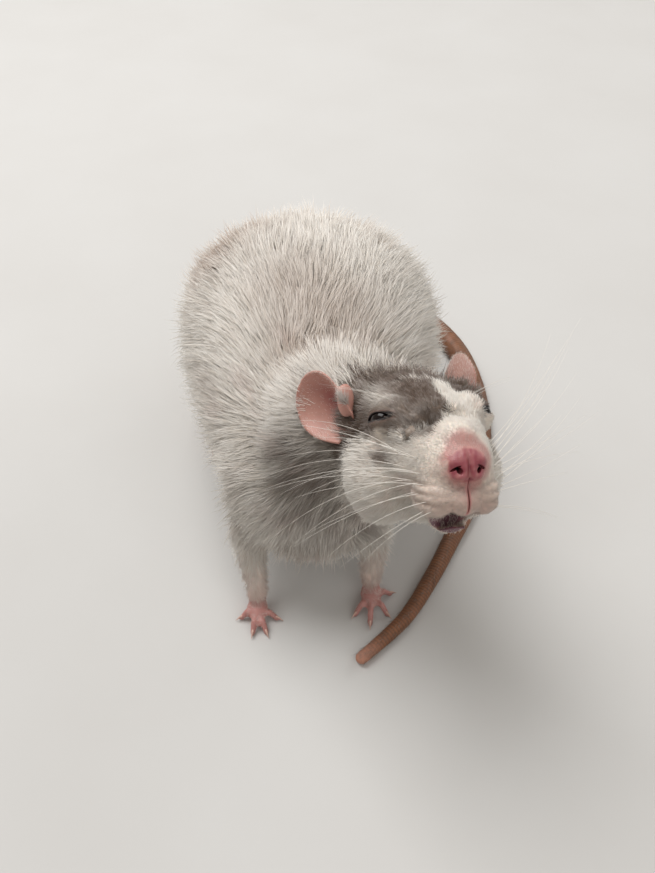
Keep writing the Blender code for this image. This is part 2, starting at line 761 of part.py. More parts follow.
def tail():
    """The tail in lengths, parted by thin cuts square to its run."""
    whole = tail_tube()
    floor_cut(whole)
    points = tail_line()
    cuts = []
    for n in range(1, TAIL_LENGTHS):
        i = round(n * (len(points) - 1) / TAIL_LENGTHS)
        cuts.append(slab("tail_cut", points[i], points[i + 1] - points[i - 1], 9 * MM))
    boolean(whole, cuts, "DIFFERENCE")
    pieces = loose_bodies(whole.data)
    bpy.data.objects.remove(whole, do_unlink=True)

    def along(piece):
        middle = sum((v.co for v in piece.verts), Vector()) / len(piece.verts)
        return min(range(len(points)), key=lambda i: (points[i] - middle).length)

    for n, piece in enumerate(sorted(pieces, key=along)):
        object_from_bmesh(f"tail_{n + 1}", piece, "tail_skin")


def part_flesh(whole, cuts, seeds):
    """Cut flesh with thin cutters, and name each part by the seed nearest to its middle."""
    boolean(whole, cuts, "DIFFERENCE")
    nodes = {}
    for piece in loose_bodies(whole.data):
        middle = sum((v.co for v in piece.verts), Vector()) / len(piece.verts)
        free = [name for name in seeds if name not in nodes]
        if len(piece.verts) < 40 or not free:
            piece.free()
            continue
        name = min(free, key=lambda n: (seeds[n] - middle).length)
        colour = "coat_grey" if name == "head" else "coat_white"
        nodes[name] = object_from_bmesh(name, piece, colour)
    bpy.data.objects.remove(whole, do_unlink=True)
    return nodes


def centre_on_floor():
    """Move every node so that the origin lies on the floor under the centre of the box."""
    nodes = bpy.data.collections["rat"].objects
    corners = [v.co for obj in nodes for v in obj.data.vertices]
    low = [min(c[i] for c in corners) for i in range(3)]
    high = [max(c[i] for c in corners) for i in range(3)]
    shift = Vector((-(low[0] + high[0]) / 2, -(low[1] + high[1]) / 2, -low[2]))
    for obj in nodes:
        obj.data.transform(Matrix.Translation(shift))
    return shift


def body_nodes(whole):
    """Neck, torso and legs, with room for the feet and the root of the tail."""
    for name in ("right", "left"):
        fore_paw(name)
    rooms = [grown(hind_foot(name), GAP) for name in ("right", "left")]
    rooms.append(tail_tube(GAP))
    rooms.append(nape_block(-1))
    trim_wrists(whole)
    boolean(whole, rooms, "DIFFERENCE")
    floor_cut(whole)
    seeds = {
        "neck": Vector((12.0, 10.0, 62.0)) * MM,
        "torso": Vector((-1.0, 66.0, 42.0)) * MM,
        "foreleg_right": Vector((-19.0, 8.0, 17.0)) * MM,
        "foreleg_left": Vector((19.0, 10.0, 17.0)) * MM,
        "hindleg_right": Vector((-36.0, 86.0, 26.0)) * MM,
        "hindleg_left": Vector((34.0, 86.0, 26.0)) * MM,
    }
    return part_flesh(whole, body_cuts(), seeds)


def head_nodes(whole):
    """Head and muzzle, with sockets, nostrils and mouth."""
    boolean(whole, [nape_block(1)], "DIFFERENCE")
    boolean(whole, face_cuts(), "DIFFERENCE")
    facing = head_frame().to_3x3() @ NAPE_FACING
    cut = slab("snout", in_head(0.0, MUZZLE_CUT / MM, 0.0), facing, 26 * MM)
    seeds = {"muzzle": in_head(0.0, 10.0, -3.0), "head": in_head(0.0, 36.0, -2.0)}
    return part_flesh(whole, [cut], seeds)


def main():
    clear_scene()
    whole = flesh()
    body = body_nodes(thinned(whole, "body_flesh", BODY_RATIO))
    nodes = head_nodes(thinned(whole, "head_flesh", HEAD_RATIO))
    bpy.data.objects.remove(whole, do_unlink=True)
    for name in ("right", "left"):
        ear(name, [nodes["head"], body["neck"]])
        eye(name)
    boolean(nodes["muzzle"], whiskers(), "UNION")
    keep_largest(nodes["muzzle"])
    tail()
    return centre_on_floor()


MOVED = main()
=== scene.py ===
"""Dresses a life-size pet rat: one skin under a coat of mesh tufts, ears, eyes, whiskers and a scaly tail.

Lengths are metres. Places on the face are millimetres in the head's own frame: the nose tip at zero,
+X the rat's left, +Y backwards, +Z up. Places on the body are millimetres in the rat's frame, which
has its zero on the floor between the forepaws, +Y backwards and +Z up.
"""

import logging
import math
from dataclasses import dataclass
from enum import Enum

import bmesh
import bpy
import numpy as np
from mathutils import Matrix, Vector
from mathutils.bvhtree import BVHTree
from mathutils.kdtree import KDTree


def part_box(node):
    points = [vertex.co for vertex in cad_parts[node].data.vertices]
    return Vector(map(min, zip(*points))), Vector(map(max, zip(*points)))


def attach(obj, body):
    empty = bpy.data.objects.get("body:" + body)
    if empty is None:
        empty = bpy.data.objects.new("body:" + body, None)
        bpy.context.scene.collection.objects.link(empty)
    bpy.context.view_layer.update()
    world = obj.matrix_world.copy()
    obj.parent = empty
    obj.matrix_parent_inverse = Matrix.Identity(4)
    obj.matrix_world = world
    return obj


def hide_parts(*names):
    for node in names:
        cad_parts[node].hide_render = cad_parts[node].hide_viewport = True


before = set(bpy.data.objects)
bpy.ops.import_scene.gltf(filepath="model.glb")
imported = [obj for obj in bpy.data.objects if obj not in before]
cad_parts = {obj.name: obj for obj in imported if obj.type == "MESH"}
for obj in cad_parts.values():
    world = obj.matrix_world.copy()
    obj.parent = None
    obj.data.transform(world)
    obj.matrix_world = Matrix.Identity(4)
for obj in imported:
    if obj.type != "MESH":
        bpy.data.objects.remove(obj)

LOG = logging.getLogger("rat")
MM = 0.001
ROOT_BODY = "root"

# The photograph's frame in pixels, and its focal length in the same pixels
IMAGE_HEIGHT = 873
FOCAL_PIXELS = 850.0

SEED = 20

# The rat's right and left side
SIDES = (-1, 1)
# How far back the head reaches in its own frame, and the forelegs in the rat's, in millimetres
HEAD_END = 60.0
FORELEG_END = 30.0


def linear(code: str) -> tuple:
    """Turn an sRGB hex colour to linear red, green, blue and alpha.

    Args:
        code: six hex digits.

    Returns:
        Four linear values.
    """
    parts = [int(code[i:i + 2], 16) / 255 for i in (0, 2, 4)]
    return tuple(p / 12.92 if p <= 0.04045 else ((p + 0.055) / 1.055) ** 2.4 for p in parts) + (1.0,)


def soft(values: np.ndarray, low: float, high: float) -> np.ndarray:
    """Rise smoothly from 0 at low to 1 at high."""
    t = np.clip((values - low) / (high - low), 0.0, 1.0)
    return t * t * (3.0 - 2.0 * t)


def ripple(points: np.ndarray, size: float, seed: int, waves: int = 7) -> np.ndarray:
    """Smooth seeded noise of about -1 to 1.

    Args:
        points: places, one row each.
        size: the usual distance between crests, in the units of the places.
        seed: picks the pattern.
        waves: how many waves are added.

    Returns:
        One value for each place.
    """
    rng = np.random.default_rng(seed)
    total = np.zeros(len(points))
    for _ in range(waves):
        wave = rng.normal(size=3)
        wave *= 2.0 * math.pi / size * rng.uniform(0.6, 1.7) / np.linalg.norm(wave)
        total += np.sin(points @ wave + rng.uniform(0.0, 2.0 * math.pi))
    return total / math.sqrt(waves) * 0.8


def unit(rows: np.ndarray) -> np.ndarray:
    """Scale each row to length one."""
    return rows / np.maximum(np.linalg.norm(rows, axis=1, keepdims=True), 1e-12)


def flattened(rows: np.ndarray, normals: np.ndarray) -> np.ndarray:
    """Take from each row the part that stands along its unit normal."""
    return rows - normals * np.sum(rows * normals, axis=1, keepdims=True)


def nearest(rows: np.ndarray, places: np.ndarray) -> np.ndarray:
    """The index of the row that lies nearest to each place.

    Args:
        rows: the rows to choose from, one place each.
        places: the places to find a row for.

    Returns:
        One index into the rows for each place.
    """
    tree = KDTree(len(rows))
    for k, row in enumerate(rows):
        tree.insert(row, k)
    tree.balance()
    return np.array([tree.find(place)[1] for place in places])


def blob_weight(points: np.ndarray, centre: tuple, radii: tuple) -> np.ndarray:
    """A bell that is 1 at a centre and fades out over three radii."""
    offset = (points - np.array(centre)) / np.array(radii)
    return np.exp(-np.sum(offset * offset, axis=1))


@dataclass(frozen=True)
class Carriage:
    """How the rat carries its head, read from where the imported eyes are."""

    turn: float = 14.5
    lift: float = 38.0
    tilt: float = 7.0
    between_eyes: tuple = (0.0, 25.8, 7.0)
    nose_tip: tuple = (34.0, -26.0, 95.4)

    def head(self) -> Matrix:
        """The matrix from the head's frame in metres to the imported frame.

        Returns:
            The matrix.
        """
        turned = Matrix.Rotation(math.radians(self.turn), 4, "Z")
        lifted = Matrix.Rotation(math.radians(-self.lift), 4, "X")
        tilted = Matrix.Rotation(math.radians(self.tilt), 4, "Y")
        facing = turned @ lifted @ tilted
        middle = Vector()
        for side in ("left", "right"):
            low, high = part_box("eye_" + side)
            middle += (Vector(low) + Vector(high)) / 4
        return Matrix.Translation(middle - facing @ (Vector(self.between_eyes) * MM)) @ facing

    def body(self) -> Vector:
        """The place of the rat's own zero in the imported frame."""
        return self.head().translation - Vector(self.nose_tip) * MM


CARRIAGE = Carriage()
HEAD = CARRIAGE.head()
BODY = CARRIAGE.body()


def to_head(points: np.ndarray) -> np.ndarray:
    """Turn packed places in metres to the head's frame in millimetres."""
    inverse = np.array(HEAD.inverted())
    return (points @ inverse[:3, :3].T + inverse[:3, 3]) / MM


def to_body(points: np.ndarray) -> np.ndarray:
    """Turn packed places in metres to the rat's frame in millimetres."""
    return (points - np.array(BODY)) / MM


def in_head(side: float, back: float, up: float) -> Vector:
    """A place of the head's frame in millimetres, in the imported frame."""
    return HEAD @ (Vector((side, back, up)) * MM)


def in_body(x: float, y: float, z: float) -> Vector:
    """A place of the rat's frame in millimetres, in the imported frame."""
    return BODY + Vector((x, y, z)) * MM


# Mesh helpers

def object_from(name: str, shape: bmesh.types.BMesh) -> bpy.types.Object:
    """Turn a bmesh into an object and free it.

    Args:
        name: the object's name.
        shape: its bmesh, which is freed.

    Returns:
        The new object.
    """
    mesh = bpy.data.meshes.new(name)
    shape.to_mesh(mesh)
    shape.free()
    made = bpy.data.objects.new(name, mesh)
    bpy.context.scene.collection.objects.link(made)
    return made


def applied(obj: bpy.types.Object) -> bpy.types.Object:
    """Bake an object's modifiers into its mesh.

    Args:
        obj: the object with live modifiers.

    Returns:
        The same object, with its final mesh.
    """
    graph = bpy.context.evaluated_depsgraph_get()
    mesh = bpy.data.meshes.new_from_object(obj.evaluated_get(graph))
    old = obj.data
    obj.modifiers.clear()
    obj.data = mesh
    bpy.data.meshes.remove(old)
    return obj


def combined(obj: bpy.types.Object, others: list, operation: str) -> bpy.types.Object:
    """Join or cut an object with others, which are removed.

    Args:
        obj: what is changed.
        others: closed objects.
        operation: UNION or DIFFERENCE.

    Returns:
        The changed object.
    """
    group = bpy.data.collections.new("cutters")
    bpy.context.scene.collection.children.link(group)
    for other in others:
        group.objects.link(other)
    join = obj.modifiers.new("join", "BOOLEAN")
    join.operation = operation
    join.solver = "MANIFOLD"
    join.operand_type = "COLLECTION"
    join.collection = group
    applied(obj)
    for other in others:
        bpy.data.objects.remove(other, do_unlink=True)
    bpy.data.collections.remove(group)
    return obj


def ball(name: str, centre: tuple, radii: tuple,
         turn: tuple = (0.0, 0.0, 0.0), sides: int = 32) -> bpy.types.Object:
    """Make an ellipsoid at a place of the head's frame.

    Args:
        name: the new object's name.
        centre: its middle in the head's frame, in millimetres.
        radii: its three radii, in millimetres.
        turn: how it is turned about X, Y and Z, in degrees.
        sides: how many faces go round it.

    Returns:
        The new object.
    """
    shape = bmesh.new()
    bmesh.ops.create_uvsphere(shape, u_segments=sides, v_segments=sides // 2, radius=1.0)
    spin = Matrix.Identity(4)
    for angle, axis in zip(turn, "XYZ"):
        spin = Matrix.Rotation(math.radians(angle), 4, axis) @ spin
    size = Matrix.Diagonal((radii[0], radii[1], radii[2], 1.0))
    place = HEAD @ Matrix.Scale(MM, 4) @ Matrix.Translation(centre) @ spin @ size
    bmesh.ops.transform(shape, matrix=place, verts=shape.verts)
    return object_from(name, shape)


def coordinates(mesh: bpy.types.Mesh) -> np.ndarray:
    """The places of a mesh's vertices, one row each.

    Args:
        mesh: the mesh to read.

    Returns:
        An array with three columns.
    """
    flat = np.empty(len(mesh.vertices) * 3)
    mesh.vertices.foreach_get("co", flat)
    return flat.reshape(-1, 3)


def vertex_normals(mesh: bpy.types.Mesh) -> np.ndarray:
    """The normals of a mesh's vertices, one row each.

    Args:
        mesh: the mesh to read.

    Returns:
        An array with three columns.
    """
    flat = np.empty(len(mesh.vertices) * 3)
    mesh.vertex_normals.foreach_get("vector", flat)
    return flat.reshape(-1, 3)


def move(mesh: bpy.types.Mesh, points: np.ndarray) -> None:
    """Put a mesh's vertices at new places."""
    mesh.vertices.foreach_set("co", points.ravel())
    mesh.update()


def turned_faces(mesh: bpy.types.Mesh) -> list:
    """Each face's vertices and loops in pairs, from its first vertex on: the same in every run.

    Args:
        mesh: the mesh to read.

    Returns:
        One list of pairs for each face.
    """
    faces = []
    for face in mesh.polygons:
        corners = list(zip(face.vertices, face.loop_indices))
        first = corners.index(min(corners))
        faces.append(corners[first:] + corners[:first])
    return faces


def surface(mesh: bpy.types.Mesh) -> BVHTree:
    """A mesh's faces as a tree that finds the nearest place, in an order that every run repeats."""
    faces = sorted([vert for vert, _ in corners] for corners in turned_faces(mesh))
    return BVHTree.FromPolygons([vert.co for vert in mesh.vertices], faces)


def store(mesh: bpy.types.Mesh, name: str, values: np.ndarray) -> None:
    """Write one number for each vertex as a named attribute."""
    layer = mesh.attributes.new(name, "FLOAT", "POINT")
    layer.data.foreach_set("value", values.astype(np.float32))


def smoothed(obj: bpy.types.Object, turns: int, weights: np.ndarray | None = None) -> bpy.types.Object:
    """Relax a mesh, everywhere or by a weight for each vertex.

    Args:
        obj: what is relaxed.
        turns: how often.
        weights: how much at each vertex, from 0 to 1.

    Returns:
        The same object.
    """
    if weights is not None:
        group = obj.vertex_groups.new(name="relax")
        for index in np.nonzero(weights > 0.01)[0]:
            group.add([int(index)], float(weights[index]), "REPLACE")
    relax = obj.modifiers.new("relax", "SMOOTH")
    relax.factor = 0.5
    relax.iterations = turns
    if weights is not None:
        relax.vertex_group = "relax"
    applied(obj)
    obj.vertex_groups.clear()
    return obj


def sweep(shape: bmesh.types.BMesh, points: list, radii: list, sides: int) -> None:
    """Sweep a circle along points with a radius at each, as a tube with both ends closed.

    Args:
        shape: what the tube is added to.
        points: places along the middle line.
        radii: one radius for each place.
        sides: the corners of the circle.
    """
    tube = bmesh.new()
    heading = (points[1] - points[0]).normalized()
    start = Matrix.Translation(points[0]) @ heading.to_track_quat("Z", "Y").to_matrix().to_4x4()
    made = bmesh.ops.create_circle(tube, segments=sides, radius=radii[0], cap_ends=True, matrix=start)["verts"]
    first = set(made)
    cap = next(face for face in made[0].link_faces if set(face.verts) == first)
    cap.normal_flip()
    edges = list(cap.edges)
    for i in range(1, len(points)):
        ahead = points[min(i + 1, len(points) - 1)] - points[i - 1]
        bend = heading.rotation_difference(ahead.normalized())
        heading = ahead.normalized()
        made = bmesh.ops.extrude_edge_only(tube, edges=edges)["geom"]
        ring = [piece for piece in made if isinstance(piece, bmesh.types.BMVert)]
        edges = [piece for piece in made if isinstance(piece, bmesh.types.BMEdge)
                 and all(vert in ring for vert in piece.verts)]
        grow = radii[i] / radii[i - 1]
        place = Matrix.Translation(points[i]) @ bend.to_matrix().to_4x4() @ Matrix.Scale(grow, 4)
        bmesh.ops.transform(tube, matrix=place @ Matrix.Translation(-points[i - 1]), verts=ring)
    bmesh.ops.contextual_create(tube, geom=edges)
    bmesh.ops.recalc_face_normals(tube, faces=tube.faces)
    mesh = bpy.data.meshes.new("tube")
    tube.to_mesh(mesh)
    tube.free()
    shape.from_mesh(mesh)
    bpy.data.meshes.remove(mesh)


def swept(name: str, points: list, radii: list, sides: int) -> bpy.types.Object:
    """Make one swept tube as an object of its own.

    Args:
        name: the object's name.
        points: the middle line.
        radii: a radius at each point.
        sides: how many corners each ring has.

    Returns:
        The new object.
    """
    shape = bmesh.new()
    sweep(shape, points, radii, sides)
    return object_from(name, shape)


def finished(obj: bpy.types.Object, look: bpy.types.Material) -> bpy.types.Object:
    """Give a piece its material, smooth shading, slot and body.

    Args:
        obj: the piece.
        look: its material.

    Returns:
        The same object.
    """
    obj.data.materials.clear()
    obj.data.materials.append(look)
    obj.data.shade_smooth()
    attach(obj, ROOT_BODY)
    LOG.info("%s: %d faces", obj.name, len(obj.data.polygons))
    return obj


# Finishes

def node(tree: bpy.types.NodeTree, kind: str, inputs: dict | None = None, **settings: object) -> bpy.types.Node:
    """Add one node with its settings, values and links.

    Args:
        tree: the material's nodes.
        kind: the node's type.
        inputs: a value or another node's output socket for each input, by name or number.
        settings: the node's own settings.

    Returns:
        The new node.
    """
    made = tree.nodes.new(kind)
    for name, value in settings.items():
        setattr(made, name, value)
    for key, value in (inputs or {}).items():
        if isinstance(value, bpy.types.NodeSocket):
            tree.links.new(value, made.inputs[key])
        else:
            made.inputs[key].default_value = value
    return made


def blank(name: str) -> tuple:
    """A new material, its nodes and its principled shader.

    Args:
        name: the material's name.

    Returns:
        The material, its node tree and its shader.
    """
    look = bpy.data.materials.new(name)
    look.use_nodes = True
    tree = look.node_tree
    return look, tree, next(n for n in tree.nodes if n.type == "BSDF_PRINCIPLED")


def reading(tree: bpy.types.NodeTree, name: str) -> bpy.types.NodeSocket:
    """The values of a named attribute."""
    return node(tree, "ShaderNodeAttribute", attribute_name=name).outputs["Fac"]


def mixed(tree: bpy.types.NodeTree, amount: object, first: object, second: object) -> bpy.types.NodeSocket:
    """Mix two colours by an amount."""
    made = node(tree, "ShaderNodeMix", {0: amount, 6: first, 7: second}, data_type="RGBA")
    return made.outputs[2]


def speckle(tree: bpy.types.NodeTree, size: float, detail: float = 4.0) -> bpy.types.NodeSocket:
    """Noise on object coordinates with grains of a real size in millimetres.

    Args:
        tree: the material's nodes.
        size: the width of a grain in millimetres.
        detail: how much finer noise lies on top.

    Returns:
        The noise's value.
    """
    place = node(tree, "ShaderNodeTexCoord").outputs["Object"]
    made = node(tree, "ShaderNodeTexNoise", {"Vector": place, "Scale": 1.0 / (size * MM), "Detail": detail})
    return made.outputs["Fac"]


def translucent(shader: bpy.types.Node, weight: float, depths: tuple) -> None:
    """Let light scatter under the surface, to a depth in millimetres for red, green and blue.

    Args:
        shader: the principled shader.
        weight: how much of the light scatters.
        depths: how deep red, green and blue go.
    """
    shader.inputs["Subsurface Weight"].default_value = weight
    shader.inputs["Subsurface Radius"].default_value = tuple(depth * MM for depth in depths)
    shader.inputs["Subsurface Scale"].default_value = 1.0


def embossed(tree: bpy.types.NodeTree, shader: bpy.types.Node, height: bpy.types.NodeSocket,
             strength: float, depth: float) -> None:
    """Raise the surface by a pattern, up to a depth in millimetres."""
    bump = node(tree, "ShaderNodeBump", {"Height": height, "Strength": strength, "Distance": depth * MM})
    tree.links.new(bump.outputs[0], shader.inputs["Normal"])


@dataclass(frozen=True)
class FurFinish:
    """Soft guard hair over down: matt, white or grey-brown by the markings, darker towards the roots as painted shade
    of the coat's depth.
    """

    # The root colours are darker than the tips: painted shade deep in the coat.
    white_shaded_root: str = "f1e4d3"
    white_tip: str = "fffaf0"
    # The smudge colour is also used for painted shade on the muzzle.
    smudge_and_shade: str = "ad9480"
    hood_shaded_root: str = "3d2c20"
    hood_tip: str = "6f594a"
    flush: str = "cb958b"
    darkest: float = 0.88
    lightest: float = 1.06
    roughness: float = 0.62

    def make(self) -> bpy.types.Material:
        """Build the material.

        Returns:
            The material.
        """
        look, tree, shader = blank("soft_rat_fur")
        along = reading(tree, "along")
        # From root to tip: painted shade at the roots, lighter towards the tips.
        white = mixed(tree, along, linear(self.white_shaded_root), linear(self.white_tip))
        hood_and_shade = mixed(tree, along, linear(self.hood_shaded_root), linear(self.hood_tip))
        # Smudge mask: beige clouds, and painted shade on the muzzle.
        tone = mixed(tree, reading(tree, "smudge_and_shade"), white, linear(self.smudge_and_shade))
        tone = mixed(tree, reading(tree, "flush"), tone, linear(self.flush))
        # The hood mask also carries painted shade on the muzzle and the nose.
        tone = mixed(tree, reading(tree, "hood_and_shade"), tone, hood_and_shade)
        shade = node(tree, "ShaderNodeMapRange",
                     {"Value": reading(tree, "shade"), "To Min": self.darkest, "To Max": self.lightest})
        level = node(tree, "ShaderNodeHueSaturation", {"Value": shade.outputs[0], "Color": tone})
        tree.links.new(level.outputs[0], shader.inputs["Base Color"])
        shader.inputs["Roughness"].default_value = self.roughness
        shader.inputs["Specular IOR Level"].default_value = 0.25
        shader.inputs["Sheen Weight"].default_value = 0.12
        translucent(shader, 0.3, (2.0, 1.6, 1.3))
        return look


@dataclass(frozen=True)
class SkinFinish:
    """Living skin: thin, pink and a little translucent, finely creased, with down of the coat's colours."""

    bare: str = "c28f88"
    blotch: str = "a36c66"
    deep: str = "8a3d47"
    dark: str = "150d0c"
    mauve: str = "6a444e"
    down_white: str = "ece0d2"
    down_smudge_and_shade: str = "b39b86"
    down_hood_and_shade: str = "5c4a3c"
    pore: float = 0.32

    def make(self) -> bpy.types.Material:
        """Build the material.

        Returns:
            The material.
        """
        look, tree, shader = blank("thin_pink_skin")
        # Smudge mask on the down: beige clouds, and painted shade on the muzzle.
        down = mixed(tree, reading(tree, "smudge_and_shade"), linear(self.down_white), linear(self.down_smudge_and_shade))
        down = mixed(tree, reading(tree, "flush"), down, linear(self.bare))
        # The hood mask on the down also carries painted shade on the muzzle and the nose.
        down = mixed(tree, reading(tree, "hood_and_shade"), down, linear(self.down_hood_and_shade))
        mottled = mixed(tree, speckle(tree, 2.6), linear(self.bare), linear(self.blotch))
        tone = mixed(tree, reading(tree, "bare"), down, mottled)
        tone = mixed(tree, reading(tree, "deep"), tone, linear(self.deep))
        tone = mixed(tree, reading(tree, "mouth"), tone, linear(self.mauve))
        # Near-black eye rims, and painted shade in the nostrils.
        tone = mixed(tree, reading(tree, "dark"), tone, linear(self.dark))
        tree.links.new(tone, shader.inputs["Base Color"])
        shader.inputs["Roughness"].default_value = 0.45
        translucent(shader, 0.12, (1.2, 0.5, 0.3))
        place = node(tree, "ShaderNodeTexCoord").outputs["Object"]
        cells = node(tree, "ShaderNodeTexVoronoi", {"Vector": place, "Scale": 1.0 / (self.pore * MM)})
        creases = node(tree, "ShaderNodeMath", {0: cells.outputs["Distance"], 1: speckle(tree, 1.1)},
                       operation="ADD")
        embossed(tree, shader, creases.outputs[0], 0.45, 0.12)
        return look


@dataclass(frozen=True)
class EarFinish:
    """Ear skin: paper thin, warm where blood shows in the cup, paler at the rim."""

    rim: str = "c29285"
    blotch: str = "a8776b"
    cup: str = "8c443f"
    back: str = "85726a"

    def make(self) -> bpy.types.Material:
        """Build the material.

        Returns:
            The material.
        """
        look, tree, shader = blank("thin_ear_skin")
        blotch = mixed(tree, speckle(tree, 3.4), linear(self.rim), linear(self.blotch))
        tone = mixed(tree, reading(tree, "cup"), blotch, linear(self.cup))
        tone = mixed(tree, reading(tree, "back"), tone, linear(self.back))
        tree.links.new(tone, shader.inputs["Base Color"])
        shader.inputs["Roughness"].default_value = 0.5
        translucent(shader, 0.15, (1.6, 0.6, 0.35))
        embossed(tree, shader, speckle(tree, 0.7), 0.4, 0.1)
        return look


@dataclass(frozen=True)
class EyeFinish:
    """A wet rat's eye: near-black brown iris and pupil under a clear cornea."""

    iris: str = "1c100c"
    pupil: str = "0b0706"

    def make(self) -> bpy.types.Material:
        """Build the material.

        Returns:
            The material.
        """
        look, tree, shader = blank("wet_dark_eye")
        tone = mixed(tree, speckle(tree, 0.5), linear(self.pupil), linear(self.iris))
        tree.links.new(tone, shader.inputs["Base Color"])
        shader.inputs["Roughness"].default_value = 0.06
        shader.inputs["IOR"].default_value = 1.33
        return look


@dataclass(frozen=True)
class HornFinish:
    """Keratin of claws and whiskers: pale, smooth and slightly glossy."""

    name: str
    light: str
    dark: str
    grain: float
    roughness: float

    def make(self) -> bpy.types.Material:
        """Build the material.

        Returns:
            The material.
        """
        look, tree, shader = blank(self.name)
        tone = mixed(tree, speckle(tree, self.grain), linear(self.light), linear(self.dark))
        tree.links.new(tone, shader.inputs["Base Color"])
        shader.inputs["Roughness"].default_value = self.roughness
        return look


@dataclass(frozen=True)
class TailFinish:
    """Scaly tail skin: rings of small plates, mottled brown with darker grooves, pink at the tip and in patches."""

    brown: str = "94603a"
    blotch: str = "6f4632"
    dark: str = "60402c"
    pink: str = "bf8872"

    def make(self) -> bpy.types.Material:
        """Build the material.

        Returns:
            The material.
        """
        look, tree, shader = blank("scaly_tail_skin")
        mottled = mixed(tree, speckle(tree, 4.0), linear(self.brown), linear(self.blotch))
        tone = mixed(tree, reading(tree, "groove"), mottled, linear(self.dark))
        tone = mixed(tree, reading(tree, "pink"), tone, linear(self.pink))
        tree.links.new(tone, shader.inputs["Base Color"])
        shader.inputs["Roughness"].default_value = 0.55
        embossed(tree, shader, speckle(tree, 0.45), 0.5, 0.1)
        return look


@dataclass(frozen=True)
class FloorFinish:
    """Pale matt studio paper with a faint mottle."""

    light: str = "c9c8c6"
    grey: str = "c2c0bd"

    def make(self) -> bpy.types.Material:
        """Build the material.

        Returns:
            The material.
        """
        look, tree, shader = blank("pale_studio_floor")
        tone = mixed(tree, speckle(tree, 60.0), linear(self.light), linear(self.grey))
        tree.links.new(tone, shader.inputs["Base Color"])
        shader.inputs["Roughness"].default_value = 0.8
        return look


# Markings, shared by skin and coat

@dataclass(frozen=True)
class Spot:
    """A soft spot: its middle and radii in millimetres, and its strength."""

    centre: tuple
    radii: tuple
    amount: float

    def on(self, places: np.ndarray, sign: int = 1) -> np.ndarray:
        """The spot's strength at places of its frame, or of its mirror image where the sign is -1."""
        x, y, z = self.centre
        return self.amount * blob_weight(places, (sign * x, y, z), self.radii)


